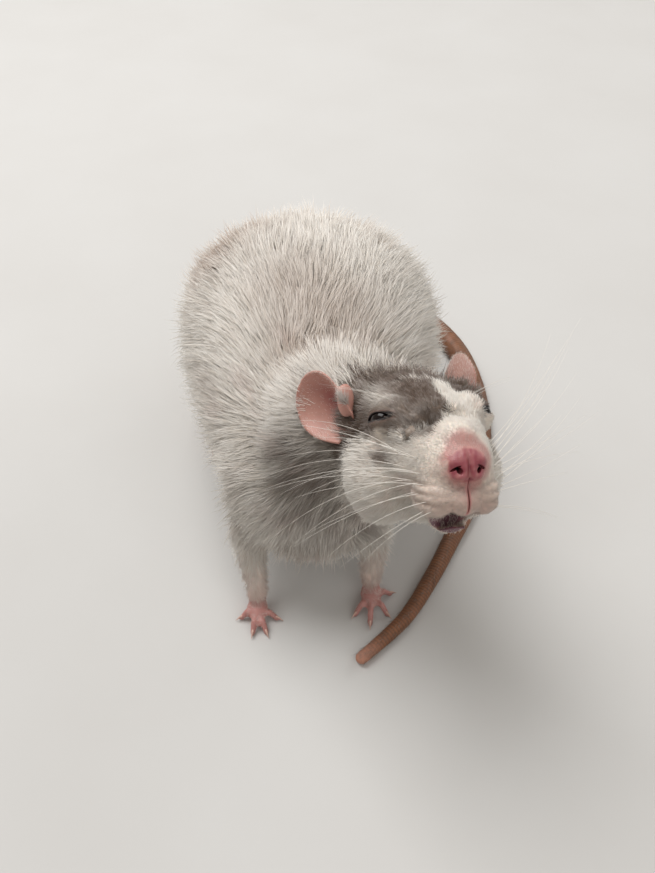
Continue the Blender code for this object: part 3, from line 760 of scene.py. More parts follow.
class Markings:
    """Where the coat is grey-brown, smudged or flushed, where skin is bare, and where shade and light are painted, at
    any places.
    """

    # Edges of the blaze: places behind the nose tip, and how far to the rat's left each edge lies there
    BLAZE_RIGHT = ((4.0, 9.0, 12.0, 16.0, 20.0, 26.0, 30.0, 36.0), (-7.0, -4.2, -2.2, 0.6, 1.8, 2.0, 2.2, 3.2))
    BLAZE_LEFT = ((4.0, 12.0, 20.0, 23.0, 27.0, 33.0, 37.0), (12.0, 12.0, 12.4, 10.4, 8.2, 5.8, 3.0))
    STREAK = Spot((-10.2, 31.5, 13.2), (2.6, 7.5, 5.0), 1.0)
    CROWN_LINE = Spot((0.0, 34.6, 16.0), (6.0, 1.0, 5.0), 0.75)
    # Lower edge of the hood: places behind the nose tip, and its height there
    HOOD_LOW = ((8.0, 10.0, 15.0, 21.0, 24.0, 28.0, 33.0, 36.0, 45.0, 51.0, 54.0),
                (6.4, 5.0, 4.6, 4.4, 4.8, 3.8, 2.6, -1.0, -5.5, -10.3, -16.0))
    # Rear edge of the hood: places from right to left, and how much farther back it lies there
    HOOD_REACH = ((-22.0, -17.0, -12.0, -4.0, 6.0, 12.0), (-11.0, -7.0, -3.0, 1.0, 1.0, -2.0))
    # Painted light: the hood is paled beside the right of the nose, where the fur lies in shade; this also softens the
    # hood's edge there.
    NOSE_SIDE_PAINTED_LIGHT = Spot((-6.5, 14.0, 5.0), (7.0, 7.0, 6.0), 0.3)
    LEFT_CHEEK_WHITE = Spot((14.8, 21.5, 5.0), (4.0, 3.6, 4.5), 1.0)
    UNDER_EYES = (Spot((12.8, 22.6, -1.5), (2.8, 4.4, 2.1), 0.95), Spot((11.6, 18.6, 3.0), (2.4, 3.4, 1.8), 0.5))
    # Painted shade laid in the hood's grey-brown: on the muzzle, on the nose's top and on its side
    PAINTED_SHADE_SPOTS = (Spot((0.0, 7.0, -8.5), (11.0, 11.0, 7.0), 0.26), Spot((0.0, 3.2, 5.4), (5.0, 4.0, 2.6), 0.2),
             Spot((-7.0, 10.0, 1.0), (5.0, 7.0, 5.0), 0.12))
    BACK_CLOUDS = (Spot((8.9, 42.9, 76.6), (13.0, 11.0, 9.0), 0.5), Spot((-7.0, 52.0, 79.0), (13.0, 14.0, 9.0), 0.45),
                   Spot((-27.0, 86.0, 76.0), (9.0, 13.0, 10.0), 0.8), Spot((-34.0, 80.0, 70.0), (9.0, 13.0, 9.0), 0.5),
                   Spot((-4.0, 34.0, 74.0), (10.0, 8.0, 8.0), 0.3))
    # Painted shade over the lower pads of the muzzle, also laid along the folds of the pads.
    MUZZLE_PAINTED_SHADE = Spot((0.0, 7.0, -10.0), (11.0, 11.0, 6.5), 0.42)
    # Pink of skin through thin hair on the pads, made stronger as painted shade over the muzzle.
    LIPS_FLUSH_AND_SHADE = Spot((0.0, 6.0, -9.5), (9.0, 9.0, 6.0), 0.45)
    EAR_FLUSH = Spot((17.4, 41.0, 8.0), (3.0, 4.0, 4.0), 0.5)
    NOSTRIL_RED = Spot((2.6, 0.6, -0.6), (2.0, 2.4, 1.5), 0.55)
    CLEFT_RED = Spot((0.0, 0.4, -5.0), (0.9, 2.5, 3.4), 0.35)
    # Painted shade: near-black at the bottoms of the nostrils.
    NOSTRIL_PAINTED_SHADE = Spot((2.3, 2.2, -0.8), (1.0, 1.7, 0.9), 1.0)

    def __init__(self, points: np.ndarray) -> None:
        """Read the places in both frames.

        Args:
            points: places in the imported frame, in metres.
        """
        self.face = to_head(points)
        self.trunk = to_body(points)
        self.edge = 1.1 * ripple(self.trunk, 5.0, 3) + 0.6 * ripple(self.trunk, 1.8, 4)

    def blaze(self) -> np.ndarray:
        """White up the nose and forehead, the streak over the right eye and the line on the crown.

        Returns:
            The strength at each place, 0 to 1.
        """
        x, y, _ = self.face.T
        right = np.interp(y, *self.BLAZE_RIGHT)
        left = np.interp(y, *self.BLAZE_LEFT)
        up_nose = soft(x - right + 0.5 * self.edge, -0.8, 0.8) * soft(left - x + 0.5 * self.edge, -0.8, 0.8)
        up_nose *= 1.0 - soft(y + self.edge, 35.0, 38.0)
        return np.clip(up_nose + self.STREAK.on(self.face) + self.CROWN_LINE.on(self.face), 0.0, 1.0)

    def hood_and_shade(self) -> np.ndarray:
        """Grey-brown over the crown and round the eyes, paler down the neck to the chest, with painted shade on the
        muzzle and the nose, and painted light beside the right of the nose.

        Returns:
            The strength at each place, 0 to 1.
        """
        x, y, z = self.face.T
        above = soft(z - np.interp(y, *self.HOOD_LOW) + 0.8 * self.edge, -1.7, 1.7)
        start = soft(y + 0.5 * self.edge, 8.0, 10.5)
        reach = np.interp(x, *self.HOOD_REACH) * soft(z, 4.0, 12.0)
        end = 1.0 - soft(y - 0.5 * z - reach + 1.2 * self.edge, 47.5, 52.0)
        # Painted light beside the right of the nose lifts the hood's grey-brown.
        cap = above * start * end * (1.0 - self.NOSE_SIDE_PAINTED_LIGHT.on(self.face))
        cap *= 1.0 - soft(self.LEFT_CHEEK_WHITE.on(self.face), 0.2, 0.5)
        for spot in self.UNDER_EYES:
            for sign in SIDES:
                cap = np.maximum(cap, spot.on(self.face, sign))
        side, back, up = self.trunk.T
        throat = soft(back + 0.25 * side + 1.5 * self.edge, 20.0, 9.0) * soft(up, 20.0, 34.0)
        throat *= soft(side + 1.5 * self.edge, -13.0, -4.0) * soft(y, 44.0, 50.0)
        throat *= 1.0 - soft(up, 62.0, 72.0)
        cheek = (1.0 - above) * (1.0 - soft(y + 1.2 * self.edge, 53.0, 57.0))
        neck = (0.28 + 0.38 * soft(up, 38.0, 56.0) + 0.1 * self.edge) * throat * (1.0 - cheek)
        # Painted shade on the muzzle, the nose's top and its side, added to the hood's mask.
        painted_shade = sum(spot.on(self.face) for spot in self.PAINTED_SHADE_SPOTS)
        return np.clip(np.maximum(cap * (1.0 - self.blaze()), neck) + painted_shade, 0.0, 1.0)

    def smudge_and_shade(self) -> np.ndarray:
        """Beige clouds on the white back, with one darker tuft at the right of the rump, and painted shade over the
        muzzle's lower pads and in their folds.

        Returns:
            The strength at each place, 0 to 1.
        """
        clouds = 0.30 * soft(ripple(self.trunk, 30.0, 8), 0.1, 1.2)
        clouds += 0.12 * soft(ripple(self.trunk, 9.0, 9), 0.0, 1.2)
        for spot in self.BACK_CLOUDS:
            clouds += spot.on(self.trunk)
        # Painted shade: over the muzzle's lower pads, and darker in the folds between the pads.
        muzzle = self.MUZZLE_PAINTED_SHADE.on(self.face)
        for centre, radii, _ in Skin.pad_folds:
            for sign in SIDES:
                muzzle += Spot(centre, radii, self.MUZZLE_PAINTED_SHADE.amount).on(self.face, sign)
        return np.clip(clouds, 0.0, 1.0) * soft(self.face[:, 1], 52.0, 64.0) + muzzle

    def flush(self) -> np.ndarray:
        """Pink that shows through thin hair round the nose, lips, ears and wrists, and in the neck's folds; over the
        muzzle's pads it is partly painted shade.

        Returns:
            The strength at each place, 0 to 1.
        """
        near = (self.face - np.array((0.4, 1.8, 1.2))) / np.array((5.6, 5.8, 6.2))
        muzzle = 1.0 - soft(np.linalg.norm(near, axis=1) + 0.08 * self.edge, 0.75, 1.3)
        folds = 0.20 * soft(ripple(self.trunk, 12.0, 12), 0.2, 1.2) * soft(self.trunk[:, 1], 60.0, 20.0)
        fore = (self.face[:, 1] > HEAD_END) * (self.trunk[:, 1] < FORELEG_END)
        thin = 0.35 * (1.0 - soft(self.trunk[:, 2], 8.0, 21.0)) * fore
        for sign in SIDES:
            thin = thin + self.EAR_FLUSH.on(self.face, sign)
        # Over the pads the pink is partly painted shade.
        return np.clip(muzzle + self.LIPS_FLUSH_AND_SHADE.on(self.face) + folds + thin + 0.06, 0.0, 1.0)

    def nose(self) -> np.ndarray:
        """The nose leather, up to where fine hair starts."""
        near = (self.face - np.array((-0.1, 0.8, 0.05))) / np.array((5.0, 4.3, 3.8))
        return 1.0 - soft(np.linalg.norm(near, axis=1) + 0.07 * self.edge, 0.82, 1.08)

    def bare(self) -> np.ndarray:
        """Naked skin: nose leather, lips, lids, paws and soles.

        Returns:
            The strength at each place, 0 to 1.
        """
        seam = blob_weight(self.face, (0.0, 2.5, -7.8), (0.5, 4.5, 5.6))
        rear = self.trunk[:, 1] > FORELEG_END
        paws = 1.0 - soft(self.trunk[:, 2], 3.8 + 0.7 * rear, 8.0 - 1.0 * rear)
        low = paws * (self.face[:, 1] > HEAD_END)
        total = self.nose() + soft(seam, 0.25, 0.6) + self.mouth() + 0.2 * self.lids() + low
        return np.clip(total, 0.0, 1.0)

    def mouth(self) -> np.ndarray:
        """The lips' edge and the inside of the mouth."""
        return soft(blob_weight(self.face, (-1.6, 10.0, -15.2), (6.2, 7.4, 3.6)), 0.36, 0.6)

    def lids(self) -> np.ndarray:
        """The naked rims of the lids, round the slit."""
        return 1.0 - soft(EyePair().opening(self.face), 1.4, 1.8)

    def deep(self) -> np.ndarray:
        """Deeper red: the nose leather, most at the nostrils' rims and in the cleft.

        Returns:
            The strength at each place, 0 to 1.
        """
        total = self.nose() * (0.5 + 0.25 * soft(self.face[:, 2], -2.5, 2.5))
        for sign in SIDES:
            total += self.NOSTRIL_RED.on(self.face, sign)
        total += self.CLEFT_RED.on(self.face)
        total += 0.2 * self.nose() * ripple(self.face, 1.6, 71)
        return np.clip(total, 0.0, 1.0)

    def dark(self) -> np.ndarray:
        """Near-black rims next to the eyes, and painted shade at the bottoms of the nostrils.

        Returns:
            The strength at each place, 0 to 1.
        """
        opening = EyePair().opening(self.face)
        total = 1.0 - 0.85 * soft(opening, 1.15, 1.5) - 0.15 * soft(opening, 1.5, 2.4)
        # Painted shade, near-black, in the nostrils.
        for sign in SIDES:
            total += soft(self.NOSTRIL_PAINTED_SHADE.on(self.face, sign), 0.5, 0.8)
        return np.clip(total, 0.0, 1.0)


@dataclass(frozen=True)
class EyePair:
    """Both eyes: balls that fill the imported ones, set behind almond slits."""

    centre: tuple = (11.4, 25.8, 7.0)
    outward: tuple = (0.74, -0.52, 0.42)
    radius: float = 3.5
    slope: float = -14.0
    slit: tuple = (3.7, 3.0, 0.92)

    def place(self, sign: int) -> tuple:
        """The middle of one eye, the way it looks, and that frame's matrix, in the head's frame.

        Args:
            sign: -1 for the right eye, 1 for the left.

        Returns:
            Middle in millimetres, direction, and the matrix of a slit in front of the ball.
        """
        centre = Vector((sign * self.centre[0], self.centre[1], self.centre[2]))
        outward = Vector((sign * self.outward[0], self.outward[1], self.outward[2])).normalized()
        look = outward.to_track_quat("Y", "Z").to_matrix().to_4x4()
        slope = Matrix.Rotation(math.radians(sign * self.slope), 4, "Y")
        return centre, outward, Matrix.Translation(centre + outward * self.radius) @ look @ slope

    def opening(self, face: np.ndarray) -> np.ndarray:
        """How far places lie from the middle of the nearer slit: 1 at the lids' edge, more outside.

        Args:
            face: places in the head's frame, in millimetres.

        Returns:
            One distance for each place, in half widths of the slit.
        """
        nearest = np.full(len(face), 99.0)
        for sign in SIDES:
            inverse = np.array(self.place(sign)[2].inverted())
            x, y, z = (face @ inverse[:3, :3].T + inverse[:3, 3]).T
            away = np.sqrt((x / self.slit[0]) ** 2 + (z / self.slit[2]) ** 2)
            nearest = np.minimum(nearest, np.where(np.abs(y) < 3.4, away, 99.0))
        return nearest

    def build(self) -> None:
        """Make the two balls with a slight swell of cornea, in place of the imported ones."""
        look = EyeFinish().make()
        for name, sign in (("right", -1), ("left", 1)):
            centre, outward, _ = self.place(sign)
            shape = bmesh.new()
            bmesh.ops.create_uvsphere(shape, u_segments=40, v_segments=24, radius=self.radius * MM)
            for vert in shape.verts:
                ahead = max(vert.co.normalized().dot(outward) - 0.8, 0.0)
                vert.co *= 1.0 + 0.12 * ahead
            place = HEAD @ Matrix.Translation(centre * MM)
            bmesh.ops.transform(shape, matrix=place, verts=shape.verts)
            piece = finished(object_from("eyeball_" + name, shape), look)
            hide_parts("eye_" + name)


@dataclass(frozen=True)
class Skin:
    """The one skin under the coat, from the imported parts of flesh."""

    overlap: float = 0.4
    head_voxel: float = 0.54
    body_voxel: float = 1.4
    paw_voxel: float = 0.5
    lid_thickness: float = 0.5
    head_nodes: tuple = ("head", "muzzle")
    body_nodes: tuple = ("neck", "torso", "foreleg_right", "foreleg_left", "hindleg_right", "hindleg_left")
    paw_nodes: tuple = ("forepaw_right", "forepaw_left", "hindfoot_right", "hindfoot_left")
    # Soft forms of the face: middle, radii and height along the skin, in millimetres
    swells: tuple = (
        ((4.0, 15.0, 9.0), (4.6, 3.4, 4.0), 0.45),
        ((3.7, 0.8, 0.9), (1.3, 1.8, 1.2), 0.45),
        ((6.0, 20.0, 10.8), (3.6, 5.0, 3.6), 0.45),
        ((7.5, 16.5, 5.5), (3.2, 3.8, 3.2), 0.80),
        ((2.1, 0.2, -2.4), (1.7, 1.6, 0.8), 0.80),
        ((0.8, -0.2, -0.8), (0.6, 1.6, 1.8), 0.30),
        ((2.6, 3.2, -8.0), (2.0, 3.0, 2.8), 0.62),
        ((5.4, 7.5, -9.6), (2.6, 4.0, 2.2), 0.40),
        ((5.2, 14.0, -13.4), (1.6, 4.0, 1.3), 0.45),
        ((8.6, 17.0, -7.0), (3.0, 0.9, 4.6), -0.45),
        ((9.2, 20.4, -8.0), (3.0, 0.9, 4.2), -0.32),
        ((13.6, 22.5, 2.6), (3.2, 4.4, 1.0), -0.42),
        ((13.4, 23.5, 0.6), (3.2, 5.0, 1.1), 0.30),
        ((12.4, 26.5, 11.6), (3.0, 5.0, 0.9), -0.38),
    )
    # Folds of the pads between the whiskers' rows
    pad_folds: tuple = (
        ((8.4, 9.0, -4.6), (3.6, 5.5, 0.65), -0.60),
        ((8.0, 8.6, -6.6), (3.8, 5.5, 0.65), -0.65),
        ((7.4, 8.2, -8.7), (3.8, 5.2, 0.65), -0.58),
    )
    groove: tuple = ((0.0, -0.4, -0.6), (0.45, 3.0, 3.6), -0.75)
    # Wrists in the rat's frame, then height, backward lean and radius along the tube from paw to leg
    wrists: tuple = ((-17.6, 0.7), (17.6, 5.9))
    wrist_tube: tuple = ((4.6, 0.0, 3.2), (8.0, 0.1, 3.45), (11.5, 1.3, 3.6), (15.0, 4.0, 2.5))
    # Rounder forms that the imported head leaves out: middle and radii
    nose_pad: tuple = ((0.0, 3.1, -0.3), (4.7, 3.2, 4.1))
    upper_lip: tuple = ((0.0, 5.0, -8.0), (3.4, 4.6, 4.2))
    # Cuts on both sides (middle, radii and turn), then the two in the middle
    nostril: tuple = ((2.15, 0.4, -1.0), (0.62, 2.3, 0.78), 30.0)
    nostril_slit: tuple = ((3.0, 0.8, -0.6), (1.4, 1.9, 0.36), 32.0)
    cleft: tuple = ((0.0, 0.6, -8.0), (0.2, 1.9, 5.4))
    mouth: tuple = ((-1.2, 9.6, -13.6), (6.4, 6.8, 1.3), (-32.0, 0.0, 0.0))
    # Lower lip, thin after the mouth is cut
    lip: tuple = ((-1.2, 6.0, -16.0), (7.0, 6.0, 3.2))

    def remeshed(self, name: str, nodes: tuple, extra: list, voxel: float, turns: int) -> bpy.types.Object:
        """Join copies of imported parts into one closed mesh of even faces.

        Args:
            name: the new object's name.
            nodes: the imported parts.
            extra: further closed objects to join in.
            voxel: the faces' size in millimetres.
            turns: how often the result is relaxed.

        Returns:
            The joined object.
        """
        whole = bmesh.new()
        for part in nodes:
            copy = bmesh.new()
            copy.from_mesh(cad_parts[part].data)
            bmesh.ops.remove_doubles(copy, verts=copy.verts, dist=0.001 * MM)
            if part == "muzzle":
                self.shave(copy)
            copy.normal_update()
            shifts = [v.normal * self.overlap * MM for v in copy.verts]
            for vert, shift in zip(copy.verts, shifts):
                vert.co += shift
            mesh = bpy.data.meshes.new("copy")
            copy.to_mesh(mesh)
            copy.free()
            whole.from_mesh(mesh)
            bpy.data.meshes.remove(mesh)
        for obj in extra:
            whole.from_mesh(obj.data)
            bpy.data.objects.remove(obj, do_unlink=True)
        made = object_from(name, whole)
        remesh = made.modifiers.new("remesh", "REMESH")
        remesh.mode = "VOXEL"
        remesh.voxel_size = voxel * MM
        applied(made)
        return smoothed(made, turns)

    def wrist(self, x: float, y: float) -> bpy.types.Object:
        """Make the closed tube that runs a forepaw into its leg.

        Args:
            x: the wrist's middle in the rat's frame, in millimetres.
            y: the same, backwards.

        Returns:
            The tube.
        """
        line = [in_body(x, y + lean, height) for height, lean, _ in self.wrist_tube]
        return swept("wrist", line, [radius * MM for _, _, radius in self.wrist_tube], 28)

    def shave(self, shape: bmesh.types.BMesh) -> None:
        """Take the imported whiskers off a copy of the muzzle, and close the small holes.

        Args:
            shape: the muzzle's copy, which is changed.
        """
        inverse = HEAD.inverted()
        away = []
        for vert in shape.verts:
            x, y, z = (inverse @ vert.co) / MM
            wide = np.interp(y, (2.0, 8.0, 13.0, 19.0), (7.6, 10.4, 11.4, 12.6))
            if (x / wide) ** 2 + ((z + 4.0) / 15.0) ** 2 > 1.0:
                away.append(vert)
        bmesh.ops.delete(shape, geom=away, context="VERTS")
        bmesh.ops.holes_fill(shape, edges=[e for e in shape.edges if e.is_boundary], sides=0)

    def refine(self, skin: bpy.types.Object) -> None:
        """Split the faces round the eyes, nose and mouth into four.

        Args:
            skin: the skin, which is changed.
        """
        shape = bmesh.new()
        shape.from_mesh(skin.data)
        inverse = HEAD.inverted()
        eyes = [EyePair().place(sign)[0] for sign in SIDES]
        edges = {}
        for face in shape.faces:
            spot = (inverse @ face.calc_center_median()) / MM
            near_eye = min((spot - eye).length for eye in eyes) < 7.0
            near_nose = spot.y < 9.0 or (spot.y < 17.0 and spot.z < -9.0 and spot.z > -20.0)
            if near_eye or near_nose:
                edges.update(dict.fromkeys(face.edges))
        bmesh.ops.subdivide_edges(shape, edges=list(edges), cuts=1, use_grid_fill=True)
        shape.to_mesh(skin.data)
        shape.free()

    def depth(self, points: np.ndarray) -> np.ndarray:
        """How deep the skin lies under the coat's tips, in millimetres.

        Args:
            points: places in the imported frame.

        Returns:
            One depth for each place.
        """
        face = to_head(points)
        trunk = to_body(points)
        by_head = np.interp(face[:, 1], (4.0, 9.0, 20.0, 36.0, 52.0, 66.0), (0.0, 0.3, 0.7, 1.2, 2.0, 2.7))
        by_height = np.interp(trunk[:, 2], (6.8, 12.0, 20.0, 34.0), (0.0, 0.5, 1.1, 2.7))
        deep = np.minimum(by_head, by_height)
        for sign in SIDES:
            centre = EyePair().place(sign)[0]
            deep *= soft(np.linalg.norm(face - np.array(centre), axis=1), 4.5, 9.0)
        return deep + self.overlap

    def sculpt(self, skin: bpy.types.Object, roots: np.ndarray) -> None:
        """Raise lips, nostril wings, lid folds and the small domes that the whiskers grow from.

        Args:
            skin: the skin.
            roots: the whiskers' roots in the head's frame, in millimetres.
        """
        points = coordinates(skin.data)
        normals = vertex_normals(skin.data)
        face = to_head(points)
        height = self.groove[2] * blob_weight(face, self.groove[0], self.groove[1])
        for (x, y, z), radii, amount in self.swells + self.pad_folds:
            for sign in SIDES:
                height += amount * blob_weight(face, (sign * x, y, z), radii)
        for root in roots:
            height += 0.22 * blob_weight(face, tuple(root), (0.75, 0.75, 0.75))
        near = face[:, 1] < HEAD_END
        height += 0.10 * ripple(face, 3.2, 21) * near * soft(face[:, 1], 4.0, 12.0)
        move(skin.data, points + normals * (height * MM)[:, None])

    def cut(self, skin: bpy.types.Object) -> None:
        """Open the lids over the eyes, the nostrils, the cleft and the mouth.

        Args:
            skin: the skin, which is changed.
        """
        tools = []
        pair = EyePair()
        for sign in SIDES:
            centre, _, slit = pair.place(sign)
            room = pair.radius + 0.06
            tools.append(ball("socket", tuple(centre), (room, room, room)))
            shape = bmesh.new()
            bmesh.ops.create_uvsphere(shape, u_segments=32, v_segments=20, radius=1.0)
            for vert in shape.verts:
                vert.co.z *= 1.0 - 0.55 * vert.co.x * vert.co.x
                vert.co.z += 0.12 * (1.0 - vert.co.x * vert.co.x)
            place = HEAD @ Matrix.Scale(MM, 4) @ slit @ Matrix.Diagonal((*pair.slit, 1.0))
            bmesh.ops.transform(shape, matrix=place, verts=shape.verts)
            tools.append(object_from("slit", shape))
            for (x, y, z), radii, turn in (self.nostril, self.nostril_slit):
                tools.append(ball("nostril", (sign * x, y, z), radii, (0.0, sign * turn, 0.0), 24))
        tools.append(ball("cleft", *self.cleft, sides=24))
        tools.append(ball("mouth", *self.mouth))
        for tool in tools:
            combined(skin, [tool], "DIFFERENCE")

    def seams(self, points: np.ndarray) -> np.ndarray:
        """How much each place needs relaxing: where head, feet and body were joined.

        Args:
            points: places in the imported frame.

        Returns:
            A weight at each place, 0 to 1.
        """
        face = to_head(points)
        trunk = to_body(points)
        nape = 1.0 - soft(np.abs(face[:, 1] + 0.1 * face[:, 2] - 51.0), 2.0, 7.0)
        wrist = 0.12 * (1.0 - soft(np.abs(trunk[:, 2] - 8.6), 2.2, 5.0))
        wrist = np.maximum(wrist, 0.5 * (1.0 - soft(np.abs(trunk[:, 2] - 13.5), 2.0, 4.5)))
        wrist *= trunk[:, 1] < 20.0
        bridge = soft(blob_weight(face, (0.0, 15.0, 8.0), (11.0, 6.0, 8.0)), 0.15, 0.5)
        for sign in SIDES:
            slope = blob_weight(face, (sign * 7.8, 16.0, 5.5), (4.5, 5.0, 5.0))
            bridge = np.maximum(bridge, soft(slope, 0.15, 0.5))
        return np.clip(nape * (trunk[:, 2] > 30.0) + wrist + bridge, 0.0, 1.0)

    def build(self, roots: np.ndarray) -> bpy.types.Object:
        """Make the skin with its unwrap and its markings.

        Args:
            roots: the whiskers' roots in the head's frame, in millimetres.

        Returns:
            The skin.
        """
        pair = EyePair()
        lid = pair.radius + self.lid_thickness
        extra = [ball("lid", tuple(pair.place(sign)[0]), (lid, lid, lid)) for sign in SIDES]
        extra += [ball("nose", *self.nose_pad), ball("lips", *self.upper_lip)]
        head = self.remeshed("skin_of_head", self.head_nodes, extra, self.head_voxel, 9)
        skin = self.remeshed("skin", self.body_nodes, [], self.body_voxel, 5)
        wrists = [[self.wrist(*place)] for place in self.wrists] + [[], []]
        paws = [self.remeshed("paw", (name,), joined, self.paw_voxel, 3)
                for name, joined in zip(self.paw_nodes, wrists)]
        combined(skin, [head] + paws, "UNION")
        smoothed(skin, 45, self.seams(coordinates(skin.data)))
        self.refine(skin)
        points = coordinates(skin.data)
        move(skin.data, points - vertex_normals(skin.data) * (self.depth(points) * MM)[:, None])
        body = soft(to_head(coordinates(skin.data))[:, 1], 48.0, 60.0)
        smoothed(skin, 6, body * soft(to_body(coordinates(skin.data))[:, 2], 10.0, 20.0))
        self.sculpt(skin, roots)
        self.cut(skin)
        smoothed(skin, 10, soft(blob_weight(to_head(coordinates(skin.data)), *self.lip), 0.2, 0.6))
        self.unwrap(skin)
        self.mark(skin)
        return skin

    def unwrap(self, skin: bpy.types.Object) -> None:
        """Unwrap the skin by its own shape, into the map that the coat shares.

        Args:
            skin: the skin, which gets the map.
        """
        skin.data.uv_layers.new(name="OFBake")
        bpy.context.view_layer.objects.active = skin
        skin.select_set(True)
        bpy.ops.object.mode_set(mode="EDIT")
        bpy.ops.mesh.select_all(action="SELECT")
        bpy.ops.uv.smart_project(angle_limit=math.radians(66.0), island_margin=0.002)
        bpy.ops.object.mode_set(mode="OBJECT")

    def mark(self, skin: bpy.types.Object) -> None:
        """Store the markings on the skin."""
        marks = Markings(coordinates(skin.data))
        for name in ("hood_and_shade", "smudge_and_shade", "flush", "bare", "deep", "mouth", "dark"):
            store(skin.data, name, getattr(marks, name)())

    def dress(self, skin: bpy.types.Object) -> None:
        """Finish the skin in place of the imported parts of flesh."""
        finished(skin, SkinFinish().make())
        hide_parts(*self.head_nodes, *self.body_nodes, *self.paw_nodes)


# Coat

class Patch(Enum):
    """The coat's pieces, by where their roots grow."""

    FACE = "coat_face"
    CROWN = "coat_crown"
    NECK = "coat_neck"
    LEGS = "coat_legs"
    BACK_RIGHT = "coat_back_right"
    BACK_LEFT = "coat_back_left"
    RUMP_RIGHT = "coat_rump_right"
    RUMP_LEFT = "coat_rump_left"


@dataclass
class Tufts:
    """Thin bent blades of hair, each one closed: one row of each array for each blade."""

    roots: np.ndarray
    normals: np.ndarray
    lie: np.ndarray
    length: np.ndarray
    width: np.ndarray
    rise: np.ndarray
    settle: np.ndarray
    unwrap: np.ndarray
    sink: float = 0.35

    # One blade: two rings of three corners and a tip, its faces, and each face's place in a small patch of the map
    CORNERS = 7
    RING = ((-0.5, 0.0), (0.5, 0.0), (0.0, 0.42))
    NARROWING = 0.78
    ALONG = (0.0, 0.0, 0.0, 0.62, 0.62, 0.62, 1.0)
    FACES = ((0, 1, 4, 3), (1, 2, 5, 4), (2, 0, 3, 5), (3, 4, 6), (4, 5, 6), (5, 3, 6), (2, 1, 0))
    PATCH = ((0, 0), (1, 0), (1, 0.6), (0, 0.6), (1, 0), (2, 0), (2, 0.6), (1, 0.6),
             (2, 0), (3, 0), (3, 0.6), (2, 0.6), (0, 0.6), (1, 0.6), (0.5, 1), (1, 0.6), (2, 0.6), (1.5, 1),
             (2, 0.6), (3, 0.6), (2.5, 1), (1, -0.1), (2, -0.1), (1.5, -0.3))
    PATCH_SIZE = 0.003

    def corners(self) -> np.ndarray:
        """The seven corners of every blade.

        Returns:
            An array of blades, corners and coordinates.
        """
        start = self.roots - self.normals * (self.sink * MM)
        side = unit(np.cross(self.normals, self.lie))
        reach = self.length[:, None]

        def step(angle: np.ndarray) -> np.ndarray:
            """The direction of a stretch that stands up from the skin by an angle."""
            return self.lie * np.cos(angle)[:, None] + self.normals * np.sin(angle)[:, None]

        middle = self.roots + step(self.rise) * reach * 0.5
        tip = middle + step(self.settle) * reach * 0.5
        made = np.empty((len(self.roots), self.CORNERS, 3))
        for k, (across, over) in enumerate(self.RING):
            offset = (side * across + self.normals * over) * self.width[:, None]
            made[:, k] = start + offset
            made[:, k + 3] = middle + offset * self.NARROWING
        made[:, 6] = tip
        return made

    def shading(self) -> np.ndarray:
        """Normals of the seven corners: mostly the skin's own, so that the coat is lit as one soft form.

        Returns:
            One row for each corner, blade after blade.
        """
        side = unit(np.cross(self.normals, self.lie))
        made = np.empty((len(self.roots), self.CORNERS, 3))
        for k, across in enumerate((-0.45, 0.45, 0.0)):
            made[:, k] = self.normals + side * across
            made[:, k + 3] = made[:, k]
        made[:, 6] = self.normals + self.lie * 0.3
        return unit(made.reshape(-1, 3))

    def pull(self, centres: np.ndarray, owner: np.ndarray, amount: np.ndarray) -> None:
        """Draw blades together towards the tip of their lock's middle blade.

        Args:
            centres: the index of each lock's middle blade.
            owner: each blade's lock.
            amount: how far each blade leans over, from 0 to 1.
        """
        tip = self.roots + self.lie * self.length[:, None] * 0.9
        goal = tip[centres][owner]
        lean = flattened(unit(goal - self.roots), self.normals)
        self.lie = unit(self.lie * (1.0 - amount[:, None]) + unit(lean) * amount[:, None])

    def some(self, rows: np.ndarray) -> "Tufts":
        """A part of the blades."""
        return Tufts(self.roots[rows], self.normals[rows], self.lie[rows], self.length[rows], self.width[rows],
                     self.rise[rows], self.settle[rows], self.unwrap[rows], self.sink)

    def mesh(self, name: str, layers: dict) -> bpy.types.Object:
        """Join the blades into one object.

        Args:
            name: the new object's name.
            layers: an attribute name with one value for each blade.

        Returns:
            The new object.
        """
        count = len(self.roots)
        corners = self.corners()
        pattern = np.array([i for face in self.FACES for i in face])
        sizes = np.array([len(face) for face in self.FACES])
        starts = np.concatenate(([0], np.cumsum(sizes)[:-1]))
        mesh = bpy.data.meshes.new(name)
        mesh.vertices.add(count * self.CORNERS)
        mesh.vertices.foreach_set("co", corners.ravel())
        mesh.loops.add(count * len(pattern))
        indices = np.arange(count)[:, None] * self.CORNERS + pattern
        mesh.loops.foreach_set("vertex_index", indices.ravel().astype(np.int32))
        mesh.polygons.add(count * len(sizes))
        firsts = np.arange(count)[:, None] * len(pattern) + starts
        mesh.polygons.foreach_set("loop_start", firsts.ravel().astype(np.int32))
        mesh.update(calc_edges=True)
        patch = np.array(self.PATCH) / (3.0, 1.0) * self.PATCH_SIZE
        places = self.unwrap[:, None, :] + patch[None, :, :]
        mesh.uv_layers.new(name="OFBake").data.foreach_set("uv", places.astype(np.float32).ravel())
        for layer, values in layers.items():
            store(mesh, layer, np.repeat(values, self.CORNERS))
        store(mesh, "along", np.tile(self.ALONG, count))
        mesh.shade_smooth()
        mesh.normals_split_custom_set_from_vertices(self.shading())
        made = bpy.data.objects.new(name, mesh)
        bpy.context.scene.collection.objects.link(made)
        return made


